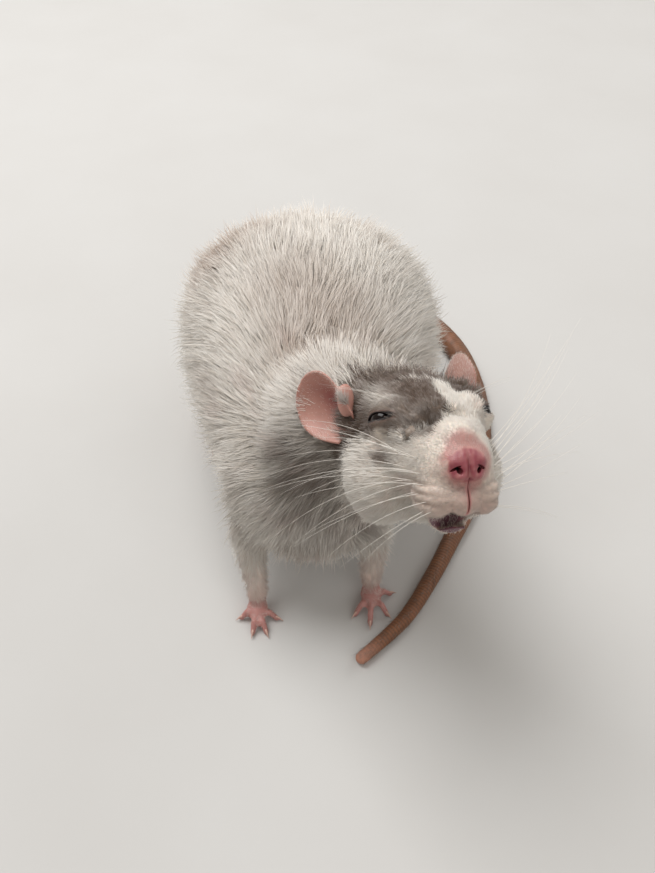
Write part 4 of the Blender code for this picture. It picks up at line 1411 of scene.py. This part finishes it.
@dataclass
class Coat:
    """The whole coat: short on the face, long and loose on the back, rooted all over the skin."""

    skin: bpy.types.Object
    # How length, width (mm), number for each square mm and rise (degrees) change behind the nose
    backs: tuple = (2.0, 7.0, 12.0, 20.0, 32.0, 46.0, 60.0, 76.0)
    lengths: tuple = (0.8, 1.3, 1.9, 2.8, 3.8, 5.2, 8.0, 10.0)
    widths: tuple = (0.08, 0.10, 0.12, 0.14, 0.16, 0.17, 0.20, 0.22)
    numbers: tuple = (10.7, 11.4, 9.8, 8.0, 6.35, 5.3, 4.5, 4.1)
    rises: tuple = (8.0, 10.0, 12.0, 14.0, 16.0, 17.0, 17.0, 17.0)
    piece_limit: int = 19500

    def triangles(self) -> tuple:
        """Corner places, normals and unwrap of each triangle of the skin, the same in every run.

        Returns:
            Three arrays with one row of corners for each triangle: places, normals and unwrap.
        """
        mesh = self.skin.data
        rows = []
        for corners in turned_faces(mesh):
            rows += [corners[0] + corners[k] + corners[k + 1] for k in range(1, len(corners) - 1)]
        table = np.array(sorted(rows, key=lambda row: row[::2])).reshape(-1, 3, 2)
        verts, loops = table[:, :, 0], table[:, :, 1]
        places = np.empty(len(mesh.loops) * 2)
        mesh.uv_layers["OFBake"].data.foreach_get("uv", places)
        return coordinates(mesh)[verts], vertex_normals(mesh)[verts], places.reshape(-1, 2)[loops]

    def number(self, points: np.ndarray, normals: np.ndarray) -> np.ndarray:
        """How many blades grow on each square millimetre.

        Args:
            points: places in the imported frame.
            normals: the skin's normals there.

        Returns:
            The number at each place.
        """
        face = to_head(points)
        trunk = to_body(points)
        number = np.interp(face[:, 1], self.backs, self.numbers)
        low = trunk[:, 2] < 34.0
        legs = np.interp(trunk[:, 2], (1.5, 4.0, 7.0, 16.0, 34.0), (0.0, 3.0, 8.0, 5.6, 3.2))
        legs *= np.where(trunk[:, 1] > 32.0, 0.40, 1.0)
        number = np.where(low & (face[:, 1] > HEAD_END), legs, number)
        number *= 1.0 - 0.6 * ((trunk[:, 2] < 9.0) & (trunk[:, 1] > FORELEG_END))
        marks = Markings(points)
        keep = 1.0 - np.clip(marks.bare() * (face[:, 1] < HEAD_END) + marks.dark() + marks.mouth(), 0.0, 1.0)
        keep = np.maximum(keep, 0.12 * marks.mouth() * (normals[:, 2] < 0.5))
        inside = (np.abs(face[:, 0]) < 6.0) & (np.abs(face[:, 2] + 13.0) < 6.0) & (face[:, 1] < 16.0)
        keep *= np.where(inside & (normals[:, 2] > 0.75), 0.2, 1.0)
        soles = (trunk[:, 2] < 6.0) & (normals[:, 2] < 0.3)
        return number * keep * ~soles

    def flow(self, points: np.ndarray, normals: np.ndarray, rng: np.random.Generator) -> np.ndarray:
        """Which way the coat lies at each root.

        Args:
            points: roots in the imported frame.
            normals: the skin's normals there.
            rng: the seeded source of small turns.

        Returns:
            Unit directions along the skin.
        """
        face = to_head(points)
        trunk = to_body(points)
        turn = np.array(HEAD.to_3x3())
        ahead = np.stack((0.03 * face[:, 0], np.ones(len(face)), 0.012 * face[:, 2]), axis=1)
        low_face = soft(-face[:, 2], 2.0, 14.0)[:, None] * np.array([[0.0, 0.0, -0.35]])
        head = unit((ahead + low_face) @ turn.T)
        side = np.clip(np.abs(trunk[:, 0]) / 40.0, 0.0, 1.0)
        back = np.stack((0.006 * trunk[:, 0], np.ones(len(face)), -0.15 - 0.75 * side), axis=1)
        down = np.stack((0.004 * trunk[:, 0], np.full(len(face), 0.35), np.full(len(face), -1.0)), axis=1)
        front = soft(trunk[:, 1], 34.0, 6.0) * soft(trunk[:, 2], 74.0, 52.0)
        legs = np.maximum(front, soft(trunk[:, 2], 32.0, 20.0))[:, None]
        body = unit(back) * (1.0 - legs) + unit(down) * legs
        near = soft(face[:, 1], 70.0, 50.0)[:, None]
        lie = head * near + body * (1.0 - near)
        lie = unit(flattened(lie, normals))
        across = np.cross(normals, lie)
        swirl = 0.30 * ripple(trunk, 26.0, 31) + 0.20 * ripple(trunk, 9.0, 32)
        swirl = swirl * soft(face[:, 1], 30.0, 60.0) + 0.12 * rng.normal(size=len(face))
        return unit(lie * np.cos(swirl)[:, None] + across * np.sin(swirl)[:, None])

    def grow(self) -> tuple:
        """Pick the roots and size every blade.

        Returns:
            The blades, with a value of each marking and the piece of each blade.
        """
        rng = np.random.default_rng(SEED)
        points, normals, places = self.triangles()
        middle = points.mean(axis=1)
        facing = unit(normals.mean(axis=1))
        corner = points[:, 0]
        area = np.linalg.norm(np.cross(points[:, 1] - corner, points[:, 2] - corner), axis=1) / 2 / MM ** 2
        share = area * self.number(middle, facing)
        count = int(share.sum())
        chosen = rng.choice(len(share), size=count, p=share / share.sum())
        a = np.sqrt(rng.random(count))
        b = rng.random(count)
        weights = np.stack((1.0 - a, a * (1.0 - b), a * b), axis=1)[:, :, None]
        roots = np.sum(points[chosen] * weights, axis=1)
        up = unit(np.sum(normals[chosen] * weights, axis=1))
        unwrap = np.sum(places[chosen] * weights, axis=1)
        face = to_head(roots)
        trunk = to_body(roots)
        back = face[:, 1] + 1.5 * ripple(trunk, 6.0, 41)
        length = np.interp(back, self.backs, self.lengths)
        width = np.interp(back, self.backs, self.widths)
        rise = np.interp(back, self.backs, self.rises)
        short = np.interp(trunk[:, 2], (4.0, 7.0, 11.0, 18.0, 34.0), (0.12, 0.20, 0.25, 0.35, 1.0))
        slim = np.interp(trunk[:, 2], (6.0, 11.0, 18.0, 34.0), (0.35, 0.45, 0.6, 1.0))
        leg = face[:, 1] > HEAD_END
        length = np.where(leg, length * short, length)
        width = np.where(leg, width * slim, width)
        for sign in SIDES:
            away = np.linalg.norm(face - np.array(EyePair().place(sign)[0]), axis=1)
            length *= np.interp(away, (4.0, 8.0), (0.36, 1.0))
        for x, y, z in (Ears.right[0], Ears.left[0]):
            before = blob_weight(face, (x, y - 4.5, z - 2.5), (5.0, 5.0, 7.0))
            length *= 1.0 + 0.6 * before
            rise += 18.0 * before
        crest = soft(face[:, 1], 40.0, 47.0) * (1.0 - soft(face[:, 1], 52.0, 58.0))
        crest *= soft(face[:, 2], 6.0, 12.0)
        length *= 1.0 + 0.3 * crest
        rise *= 1.0 + 0.8 * crest
        length *= (0.72 + 0.5 * rng.random(count)) * (1.0 + 0.15 * ripple(trunk, 5.0, 43))
        rise = np.radians(rise) * (0.7 + 0.6 * rng.random(count))
        stray = (rng.random(count) < 0.12) * soft(back, 30.0, 60.0)
        rise = rise * (1.0 + 1.4 * stray)
        length = length * (1.0 + 0.12 * stray)
        lie = self.flow(roots, up, rng)
        blades = Tufts(roots, up, lie, length * MM, width * MM, rise, rise * 0.35, unwrap)
        self.gather(blades, back, rng)
        self.clear(blades)
        marks = Markings(roots)
        shade = 0.5 - 0.2 * crest + 0.17 * rng.normal(size=count) + 0.16 * ripple(trunk, 4.0, 51)
        # The hood and smudge masks also carry painted shade on the muzzle and the nose.
        layers = {"hood_and_shade": marks.hood_and_shade(), "smudge_and_shade": marks.smudge_and_shade(), "flush": marks.flush() * 0.8,
                  "shade": np.clip(shade, 0.0, 1.0)}
        return blades, layers, self.pieces(face, trunk)

    def gather(self, blades: Tufts, back: np.ndarray, rng: np.random.Generator) -> None:
        """Gather the blades into soft locks, wider on the body than on the head.

        Args:
            blades: the blades, which are changed.
            back: how far each lies behind the nose.
            rng: the seeded source of chance.
        """
        count = len(blades.roots)
        each = np.interp(back, (10.0, 40.0, 70.0), (4.0, 8.0, 22.0))
        centres = np.nonzero(rng.random(count) < 1.0 / each)[0]
        owner = nearest(blades.roots[centres], blades.roots)
        blades.pull(centres, owner, np.interp(back, (10.0, 40.0, 70.0), (0.10, 0.15, 0.18)))
        lift = rng.normal(size=len(centres))[owner]
        blades.settle = blades.settle + 0.07 * lift
        blades.rise = blades.rise + 0.04 * lift

    def clear(self, blades: Tufts) -> None:
        """Raise the blades whose tips would dive into hollows of the skin.

        Args:
            blades: the blades, which are changed.
        """
        tree = surface(self.skin.data)
        tips = blades.corners()[:, -1]
        height = np.empty(len(tips))
        for k, tip in enumerate(tips):
            spot, normal, _, _ = tree.find_nearest(Vector(tip))
            height[k] = (Vector(tip) - spot).dot(normal)
        wanted = np.minimum(0.12 * blades.length, 0.45 * MM)
        angle = np.arcsin(np.clip((wanted - height) / blades.length, 0.0, 0.7))
        blades.rise = blades.rise + angle
        blades.settle = blades.settle + angle

    def pieces(self, face: np.ndarray, trunk: np.ndarray) -> np.ndarray:
        """The piece of each root.

        Args:
            face: the roots in the head's frame.
            trunk: the roots in the rat's frame.

        Returns:
            A Patch for each root.
        """
        names = np.full(len(face), Patch.BACK_RIGHT, dtype=object)
        left = trunk[:, 0] > 0.0
        rear = trunk[:, 1] > 76.0
        names[left] = Patch.BACK_LEFT
        names[rear] = Patch.RUMP_RIGHT
        names[rear & left] = Patch.RUMP_LEFT
        names[face[:, 1] < 74.0] = Patch.NECK
        names[(trunk[:, 2] < 30.0) & (face[:, 1] > HEAD_END)] = Patch.LEGS
        names[face[:, 1] < 44.0] = Patch.CROWN
        names[face[:, 1] < 22.0] = Patch.FACE
        return names

    def build(self) -> None:
        """Make every piece of the coat, each split into parts of at most a set number of blades.
        Make every piece of the coat, each small enough for its file.
        """
        look = FurFinish().make()
        blades, layers, pieces = self.grow()
        for patch in Patch:
            mine = np.nonzero(pieces == patch)[0]
            parts = max(1, math.ceil(len(mine) / self.piece_limit))
            for k, rows in enumerate(np.array_split(mine, parts)):
                name = patch.value if parts == 1 else f"{patch.value}_{k + 1}"
                made = blades.some(rows).mesh(name, {key: values[rows] for key, values in layers.items()})
                finished(made, look)


# Ears

@dataclass(frozen=True)
class Ears:
    """Thin cupped ears with a rolled rim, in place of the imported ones."""

    length: float = 18.7
    half_width: float = 8.4
    stem_half_width: float = 4.6
    cup: float = 3.0
    widest: float = 0.56
    sink: float = 0.16
    thickness: float = 0.62
    # Lobe at the front edge: place along and across, how far it stands out, and radii
    lobe: tuple = (0.25, 0.76, -0.1, (2.4, 1.9, 4.4))
    steps: int = 40
    # Root in millimetres, then lean out, lean back and turn in degrees
    right: tuple = ((-18.1, 41.5, 5.7), (35.5, 43.5, 67.6))
    left: tuple = ((14.0, 46.5, 5.5), (6.4, 19.7, 95.2))
    hairs: int = 3000

    def point(self, along: float, across: float) -> Vector:
        """A place of the ear's sheet, from root 0 to tip 1 and from edge -1 to edge 1.

        Args:
            along: from root to tip.
            across: from edge to edge.

        Returns:
            The place.
        """
        if along > self.widest:
            run = (along - self.widest) / (1.0 - self.widest)
            half = self.half_width * math.sqrt(max(1.0 - run * run, 0.0))
        else:
            growth = math.sin(along / self.widest * math.pi / 2)
            half = self.stem_half_width + (self.half_width - self.stem_half_width) * growth
        half = max(half, 0.6)
        curl = max(0.88 - 0.86 * along, 0.2)
        radius = half / math.sin(curl)
        angle = across * curl
        roll = radius * (1.0 - math.cos(angle))
        cup = self.cup * math.sin(math.pi * along) * (1.0 - across * across)
        rim = 0.5 * max(abs(across) - 0.82, 0.0) / 0.18 * math.sin(math.pi * min(along, 1.0))
        fold = 0.35 * math.sin(9.0 * along + 2.0 * across) * (1.0 - abs(across)) * (1.0 - along)
        depth = cup - roll - rim + fold
        return Vector((radius * math.sin(angle), depth, (along - self.sink) * self.length)) * MM

    def build(self) -> None:
        """Make both ears."""
        look = EarFinish().make()
        for name, sign, (root, lean) in (("right", -1, self.right), ("left", 1, self.left)):
            shape = bmesh.new()
            bmesh.ops.create_grid(shape, x_segments=self.steps, y_segments=self.steps, size=1.0)
            verts = list(shape.verts)
            grid = [(v.co.x, (v.co.y + 1.0) / 2.0) for v in verts]
            for vert, (across, along) in zip(verts, grid):
                vert.co = self.point(along, across)
            made = object_from("ear_leather_" + name, shape)
            across, up = np.array(grid).T
            store(made.data, "cup", np.exp(-((across - 0.2) / 0.38) ** 2 - ((up - 0.42) / 0.34) ** 2))
            store(made.data, "across", across)
            store(made.data, "up", up)
            out, back, turn = lean
            lean_back = Matrix.Rotation(math.radians(-back), 4, "X")
            lean_out = Matrix.Rotation(math.radians(sign * out), 4, "Y")
            face = Matrix.Rotation(math.radians(sign * turn), 4, "Z")
            slope = lean_back @ lean_out
            place = HEAD @ Matrix.Translation(Vector(root) * MM) @ slope @ face
            made.data.transform(place)
            wall = made.modifiers.new("wall", "SOLIDIFY")
            wall.thickness = self.thickness * MM
            wall.offset = 0.0
            wall.use_even_offset = True
            applied(made)
            along, across, ahead, radii = self.lobe
            spot = self.point(along, -sign * across) - Vector((0.0, ahead * MM, 0.0))
            centre = HEAD.inverted() @ place @ spot / MM
            combined(made, [ball("lobe", tuple(centre), radii)], "UNION")
            near = blob_weight(to_head(coordinates(made.data)), tuple(centre), (4.0, 4.0, 5.5))
            smoothed(made, 2)
            smoothed(made, 22, soft(near, 0.05, 0.4))
            behind = vertex_normals(made.data) @ np.array(place.to_3x3() @ Vector((0.0, 1.0, 0.0)))
            near = blob_weight(to_head(coordinates(made.data)), tuple(centre), (4.0, 4.0, 5.5))
            store(made.data, "back", 0.35 * soft(behind, 0.1, 0.6) * (1.0 - soft(near, 0.3, 0.7)))
            self.fuzz(made, place, name)
            finished(made, look)
            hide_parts("ear_" + name)

    def fuzz(self, leather: bpy.types.Object, place: Matrix, name: str) -> None:
        """Grow fine short hair on the ear: thick on its back and root, thin in the cup.

        Args:
            leather: the finished ear.
            place: the ear's matrix.
            name: right or left.
        """
        rng = np.random.default_rng(SEED + 3)
        points = coordinates(leather.data)
        normals = vertex_normals(leather.data)
        values = {}
        for layer in ("across", "up", "back"):
            flat = np.empty(len(points), dtype=np.float32)
            leather.data.attributes[layer].data.foreach_get("value", flat)
            values[layer] = flat
        front = soft(0.9 - values["up"] * 2.2, 0.0, 0.5)
        side = values["across"] * (1.0 if name == "right" else -1.0)
        front = front * (0.2 + 0.8 * soft(side, 0.1, 0.5))
        weight = 0.05 + 0.9 * values["back"] + front + 0.5 * soft(np.abs(side), 0.8, 1.0)
        weight *= values["up"] > 0.16
        chosen = rng.choice(len(points), size=self.hairs, p=weight / weight.sum())
        roots = points[chosen] + rng.normal(size=(self.hairs, 3)) * 0.16 * MM
        out = normals[chosen]
        tipward = np.array(place.to_3x3() @ Vector((0.0, 0.0, 1.0)))
        lie = unit(flattened(unit(tipward + 0.3 * rng.normal(size=out.shape)), out))
        length = (0.7 + 2.4 * front[chosen]) * rng.uniform(0.7, 1.2, self.hairs) * MM
        rise = rng.uniform(0.15, 0.6, self.hairs)
        places = np.stack((values["up"][chosen], (values["across"][chosen] + 1.0) / 2.0), axis=1)
        width = (0.055 + 0.05 * front[chosen]) * MM
        blades = Tufts(roots, out, lie, length, width, rise, rise * 0.6, places, sink=0.1)
        zeros = np.zeros(self.hairs)
        grey = np.clip(0.7 * values["back"][chosen] + 0.5 * front[chosen], 0.0, 1.0)
        layers = {"hood_and_shade": grey, "smudge_and_shade": zeros, "flush": zeros + 0.3, "shade": rng.random(self.hairs)}
        finished(blades.mesh("ear_fuzz_" + name, layers), FurFinish().make())


# Whiskers and claws

@dataclass(frozen=True)
class Whiskers:
    """Long tapered whiskers in rows on both pads, with a few over the eyes."""

    # Height on the pad, rise in degrees, how many and the longest one, in millimetres
    rows: tuple = ((0.4, 18.0, 4, 42.0), (-2.4, 10.0, 4, 46.0), (-5.0, 2.0, 4, 44.0),
                   (-7.6, -10.0, 3, 34.0), (-10.2, -24.0, 2, 24.0))
    sweep_right: float = 22.0
    sweep_left: float = 8.0
    root_radius: float = 0.07
    tip_radius: float = 0.02
    steps: int = 12
    sides: int = 5

    def starts(self) -> list:
        """Side, place in the row, and row of each whisker."""
        return [(sign, place, row) for sign in SIDES for row in self.rows for place in range(row[2])]

    def guesses(self) -> np.ndarray:
        """Where the roots grow in the head's frame, in millimetres, before they settle on the skin.

        Returns:
            An array with three columns.
        """
        spots = []
        for sign, place, (up, _, _, _) in self.starts():
            back = 6.6 + 2.4 * place + 0.5 * (up + 6.0)
            spots.append((sign * (7.4 + 0.42 * place), back, up))
        return np.array(spots)

    def build(self, skin: bpy.types.Object) -> None:
        """Grow every whisker out of the skin.

        Args:
            skin: what they root in.
        """
        rng = np.random.default_rng(SEED + 1)
        tree = surface(skin.data)
        turn = HEAD.to_3x3()
        shape = bmesh.new()
        for (sign, place, (_, rise, count, longest)), guess in zip(self.starts(), self.guesses()):
            root = tree.find_nearest(in_head(*guess))[0]
            backward = self.sweep_right if sign < 0 else self.sweep_left
            yaw = math.radians(backward + 6.0 * place + rng.normal(0.0, 6.0))
            lift = math.radians(rise + (22.0 if sign > 0 else 0.0) + rng.normal(0.0, 6.0))
            flat = math.cos(lift)
            heading = Vector((sign * math.cos(yaw) * flat, math.sin(yaw) * flat, math.sin(lift)))
            reach = longest * (0.55 + 0.45 * (place + 1) / count) * rng.uniform(0.85, 1.0) * MM
            sag = (-0.5, -0.16) if sign < 0 else (-0.2, 0.2)
            bend = Vector((0.0, rng.uniform(0.1, 0.35), rng.uniform(*sag)))
            points = []
            radii = []
            for k in range(self.steps + 1):
                t = k / self.steps
                points.append(root + turn @ (heading * (reach * t - 0.8 * MM) + bend * (reach * t * t)))
                radii.append((self.root_radius + (self.tip_radius - self.root_radius) * t) * MM)
            sweep(shape, points, radii, self.sides)
        self.brows(shape, tree, rng)
        made = object_from("whiskers", shape)
        finished(made, HornFinish("white_whisker_hair", "f3efe8", "dcd4ca", 1.5, 0.4).make())

    def brows(self, shape: bmesh.types.BMesh, tree: BVHTree, rng: np.random.Generator) -> None:
        """Add the few long hairs over each eye."""
        turn = HEAD.to_3x3()
        for sign in SIDES:
            for k in range(3):
                root = tree.find_nearest(in_head(sign * (9.4 + 0.5 * k), 23.0 + 1.6 * k, 12.0))[0]
                heading = Vector((sign * 0.85, 0.25, 0.35)).normalized()
                reach = rng.uniform(12.0, 17.0) * MM
                bend = Vector((0.0, 0.2, -0.16))
                points = [root + turn @ (heading * (reach * t) + bend * (reach * t * t))
                          for t in np.linspace(-0.04, 1.0, 10)]
                sweep(shape, points, [(0.05 - 0.004 * i) * MM for i in range(10)], 4)


@dataclass(frozen=True)
class Claws:
    """Small hooked claws at the ends of the toes."""

    fore: tuple = ((-23.2, -5.8), (-18.8, -11.6), (-14.2, -11.4), (-10.6, -6.0),
                   (24.6, 3.4), (23.0, -5.0), (17.0, -8.6), (12.0, -5.0))
    # The places that the toes spread from
    fore_right: tuple = (-17.6, -3.5)
    fore_left: tuple = (17.6, 1.7)
    sole: tuple = (33.5, 75.0)
    hind: tuple = ((-6.2, 69.0), (-3.4, 61.5), (0.2, 59.5), (3.8, 61.5), (6.4, 70.0))
    length: float = 2.6
    radius: float = 0.38

    def tips(self) -> list:
        """Each toe's end and the place it points away from, in the rat's frame.

        Returns:
            One pair of places for each toe.
        """
        made = []
        for x, y in self.fore:
            palm = self.fore_right if x < 0 else self.fore_left
            made.append((Vector((x, y, 0.0)), Vector((*palm, 0.0))))
        for side in SIDES:
            for x, y in self.hind:
                origin = Vector((side * (self.sole[0] + 0.4 * x), self.sole[1], 0.0))
                made.append((Vector((side * (self.sole[0] + x), y, 0.0)), origin))
        return made

    def build(self) -> None:
        """Make all the claws as one piece."""
        shape = bmesh.new()
        for tip, origin in self.tips():
            heading = (tip - origin).normalized()
            points = []
            radii = []
            for k in range(7):
                t = k / 6
                reach = -1.5 + self.length * t
                rise = 1.35 + 0.35 * math.sin(math.pi * min(t + 0.2, 1.0)) - 0.9 * t * t
                points.append(in_body(*(tip + heading * reach + Vector((0.0, 0.0, rise)))))
                radii.append(self.radius * (1.0 - 0.86 * t ** 1.4) * MM)
            sweep(shape, points, radii, 8)
        made = object_from("claws", shape)
        finished(made, HornFinish("translucent_claw_horn", "d9b9aa", "b98f80", 0.8, 0.35).make())


# Tail

@dataclass(frozen=True)
class Tail:
    """The scaly tail: rings of small plates with short bristles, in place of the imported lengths."""

    route: tuple = ((-3.6, 116.0, 20.0), (-1.0, 131.0, 12.0), (8.0, 141.0, 5.6), (24.0, 144.5, 4.4),
                    (42.0, 136.0, 4.1), (55.0, 117.0, 3.9), (60.5, 93.0, 3.6), (60.0, 67.0, 3.3),
                    (54.0, 42.0, 3.0), (43.6, 20.6, 2.7), (36.4, 7.1, 2.5), (27.0, -7.3, 2.2), (12.6, -21.0, 1.8))
    root_radius: float = 5.2
    ring: float = 1.05
    # How wide the three places of each ring are
    saw: tuple = (1.0, 1.045, 0.975)
    sides: int = 28
    bristles: int = 4500

    def line(self) -> np.ndarray:
        """Evenly spaced places along the middle line, three for each ring of scales, in millimetres.

        Returns:
            An array with three columns.
        """
        knots = np.array(self.route)
        fine = []
        for i in range(len(knots) - 1):
            before = knots[max(i - 1, 0)]
            after = knots[min(i + 2, len(knots) - 1)]
            for t in np.linspace(0.0, 1.0, 40, endpoint=False):
                a = (knots[i + 1] - before) / 2.0
                b = (after - knots[i]) / 2.0
                h = (2 * t ** 3 - 3 * t ** 2 + 1, t ** 3 - 2 * t ** 2 + t, -2 * t ** 3 + 3 * t ** 2, t ** 3 - t ** 2)
                fine.append(h[0] * knots[i] + h[1] * a + h[2] * knots[i + 1] + h[3] * b)
        fine = np.array(fine + [knots[-1]])
        run = np.concatenate(([0.0], np.cumsum(np.linalg.norm(np.diff(fine, axis=0), axis=1))))
        even = np.arange(0.0, run[-1], self.ring / 3.0)
        return np.stack([np.interp(even, run, fine[:, k]) for k in range(3)], axis=1)

    def build(self) -> None:
        """Make the tail and its bristles."""
        line = self.line()
        middle = [in_body(*row) for row in line]
        radii = np.minimum(line[:, 2], self.root_radius)
        edge = len(line) - 1 - np.arange(len(line))
        blunt = np.sqrt(np.clip(1.0 - (1.0 - np.minimum(edge / 5.0, 1.0)) ** 2, 0.03, 1.0))
        saw = np.array(self.saw)[np.arange(len(line)) % 3]
        made = swept("tail_scales", middle, list(radii * blunt * saw * MM), self.sides)
        points = coordinates(made.data)
        points[:, 2] = np.maximum(points[:, 2], 0.02 * MM)
        move(made.data, points)
        trunk = to_body(points)
        near = nearest(line, trunk)
        store(made.data, "groove", (near % 3 == 2) * 0.7 + 0.3 * soft(ripple(trunk, 5.0, 61), 0.2, 1.0))
        pink = 0.75 * soft(near / len(line), 0.95, 1.0) + 0.35 * soft(ripple(trunk, 14.0, 62), 0.3, 1.2)
        store(made.data, "pink", np.clip(pink, 0.0, 1.0))
        finished(made, TailFinish().make())
        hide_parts("tail_1", "tail_2", "tail_3", "tail_4")
        self.bristle(line, radii)

    def bristle(self, line: np.ndarray, radii: np.ndarray) -> None:
        """Grow short bristles from between the rings, lying towards the tip.

        Args:
            line: the middle line.
            radii: the tail's radius at each of its places.
        """
        rng = np.random.default_rng(SEED + 2)
        at = rng.integers(6, len(line) - 4, self.bristles)
        along = unit(line[at + 1] - line[at - 1])
        side = unit(np.cross(along, np.array([[0.0, 0.0, 1.0]])))
        up = np.cross(side, along)
        angle = rng.uniform(-0.75, math.pi + 0.75, self.bristles)
        out = side * np.cos(angle)[:, None] + up * np.sin(angle)[:, None]
        roots = line[at] + out * radii[at][:, None]
        keep = roots[:, 2] > 1.1
        count = int(keep.sum())
        places = np.stack((at / len(line), (angle / (2.0 * math.pi)) % 1.0), axis=1)[keep]
        lie = unit(along + 0.25 * rng.normal(size=along.shape))[keep]
        out = out[keep]
        lie = unit(flattened(lie, out))
        length = rng.uniform(1.3, 2.6, count) * MM
        width = np.full(count, 0.085 * MM)
        rise = rng.uniform(0.12, 0.45, count)
        packed = roots[keep] * MM + np.array(BODY)
        blades = Tufts(packed, out, lie, length, width, rise, rise * 0.6, places, sink=0.1)
        zeros = np.zeros(count)
        layers = {"hood_and_shade": 0.5 + 0.5 * rng.random(count), "smudge_and_shade": zeros + 0.8, "flush": zeros,
                  "shade": rng.random(count)}
        made = blades.mesh("tail_bristles", layers)
        finished(made, FurFinish().make())


# Studio

@dataclass(frozen=True)
class Studio:
    """A pale floor, soft lights, and a camera where the photograph's stood."""

    camera_place: tuple = (4.0, -143.0, 230.0)
    camera_down: float = 47.0
    sensor: float = 36.0
    # Name, place and size in metres, and power in watts of each light
    lamps: tuple = (("key", (-0.40, 0.40, 1.05), 0.8, 13.0),
                    ("fill", (0.55, -0.85, 0.75), 1.0, 2.2),
                    ("rim", (0.75, 0.60, 0.50), 0.6, 1.8))
    sky: str = "f2ede6"
    sky_strength: float = 0.5

    def build(self) -> None:
        """Make floor, lights and camera."""
        shape = bmesh.new()
        bmesh.ops.create_grid(shape, x_segments=8, y_segments=8, size=3.0)
        floor = object_from("floor", shape)
        floor.data.materials.append(FloorFinish().make())
        for lamp in self.lamps:
            self.lamp(*lamp)
        world = bpy.data.worlds.new("studio")
        bpy.context.scene.world = world
        world.use_nodes = True
        background = world.node_tree.nodes["Background"]
        background.inputs["Color"].default_value = linear(self.sky)
        background.inputs["Strength"].default_value = self.sky_strength
        data = bpy.data.cameras.new("camera")
        data.sensor_fit = "VERTICAL"
        data.sensor_height = self.sensor
        data.lens = FOCAL_PIXELS / IMAGE_HEIGHT * self.sensor
        data.clip_start = 0.01
        camera = bpy.data.objects.new("camera", data)
        camera.location = in_body(*self.camera_place)
        camera.rotation_euler = (math.radians(90.0 - self.camera_down), 0.0, 0.0)
        bpy.context.scene.collection.objects.link(camera)
        bpy.context.scene.camera = camera
        bpy.context.scene.view_settings.view_transform = "Standard"

    def lamp(self, name: str, place: tuple, size: float, power: float) -> None:
        """Hang one soft square light that faces the rat.

        Args:
            name: the lamp's name.
            place: where it hangs.
            size: the length of its sides.
            power: its power in watts.
        """
        data = bpy.data.lights.new(name, "AREA")
        data.size = size
        data.energy = power
        made = bpy.data.objects.new(name, data)
        made.location = place
        made.rotation_euler = (-Vector(place)).to_track_quat("-Z", "Y").to_euler()
        bpy.context.scene.collection.objects.link(made)


def main() -> None:
    """Build every piece in order."""
    logging.basicConfig(level=logging.INFO, format="%(message)s")
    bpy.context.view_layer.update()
    whiskers = Whiskers()
    skin_plan = Skin()
    skin = skin_plan.build(whiskers.guesses())
    Coat(skin).build()
    skin_plan.dress(skin)
    EyePair().build()
    Ears().build()
    whiskers.build(skin)
    Claws().build()
    Tail().build()
    Studio().build()


if __name__ == "__main__":
    main()
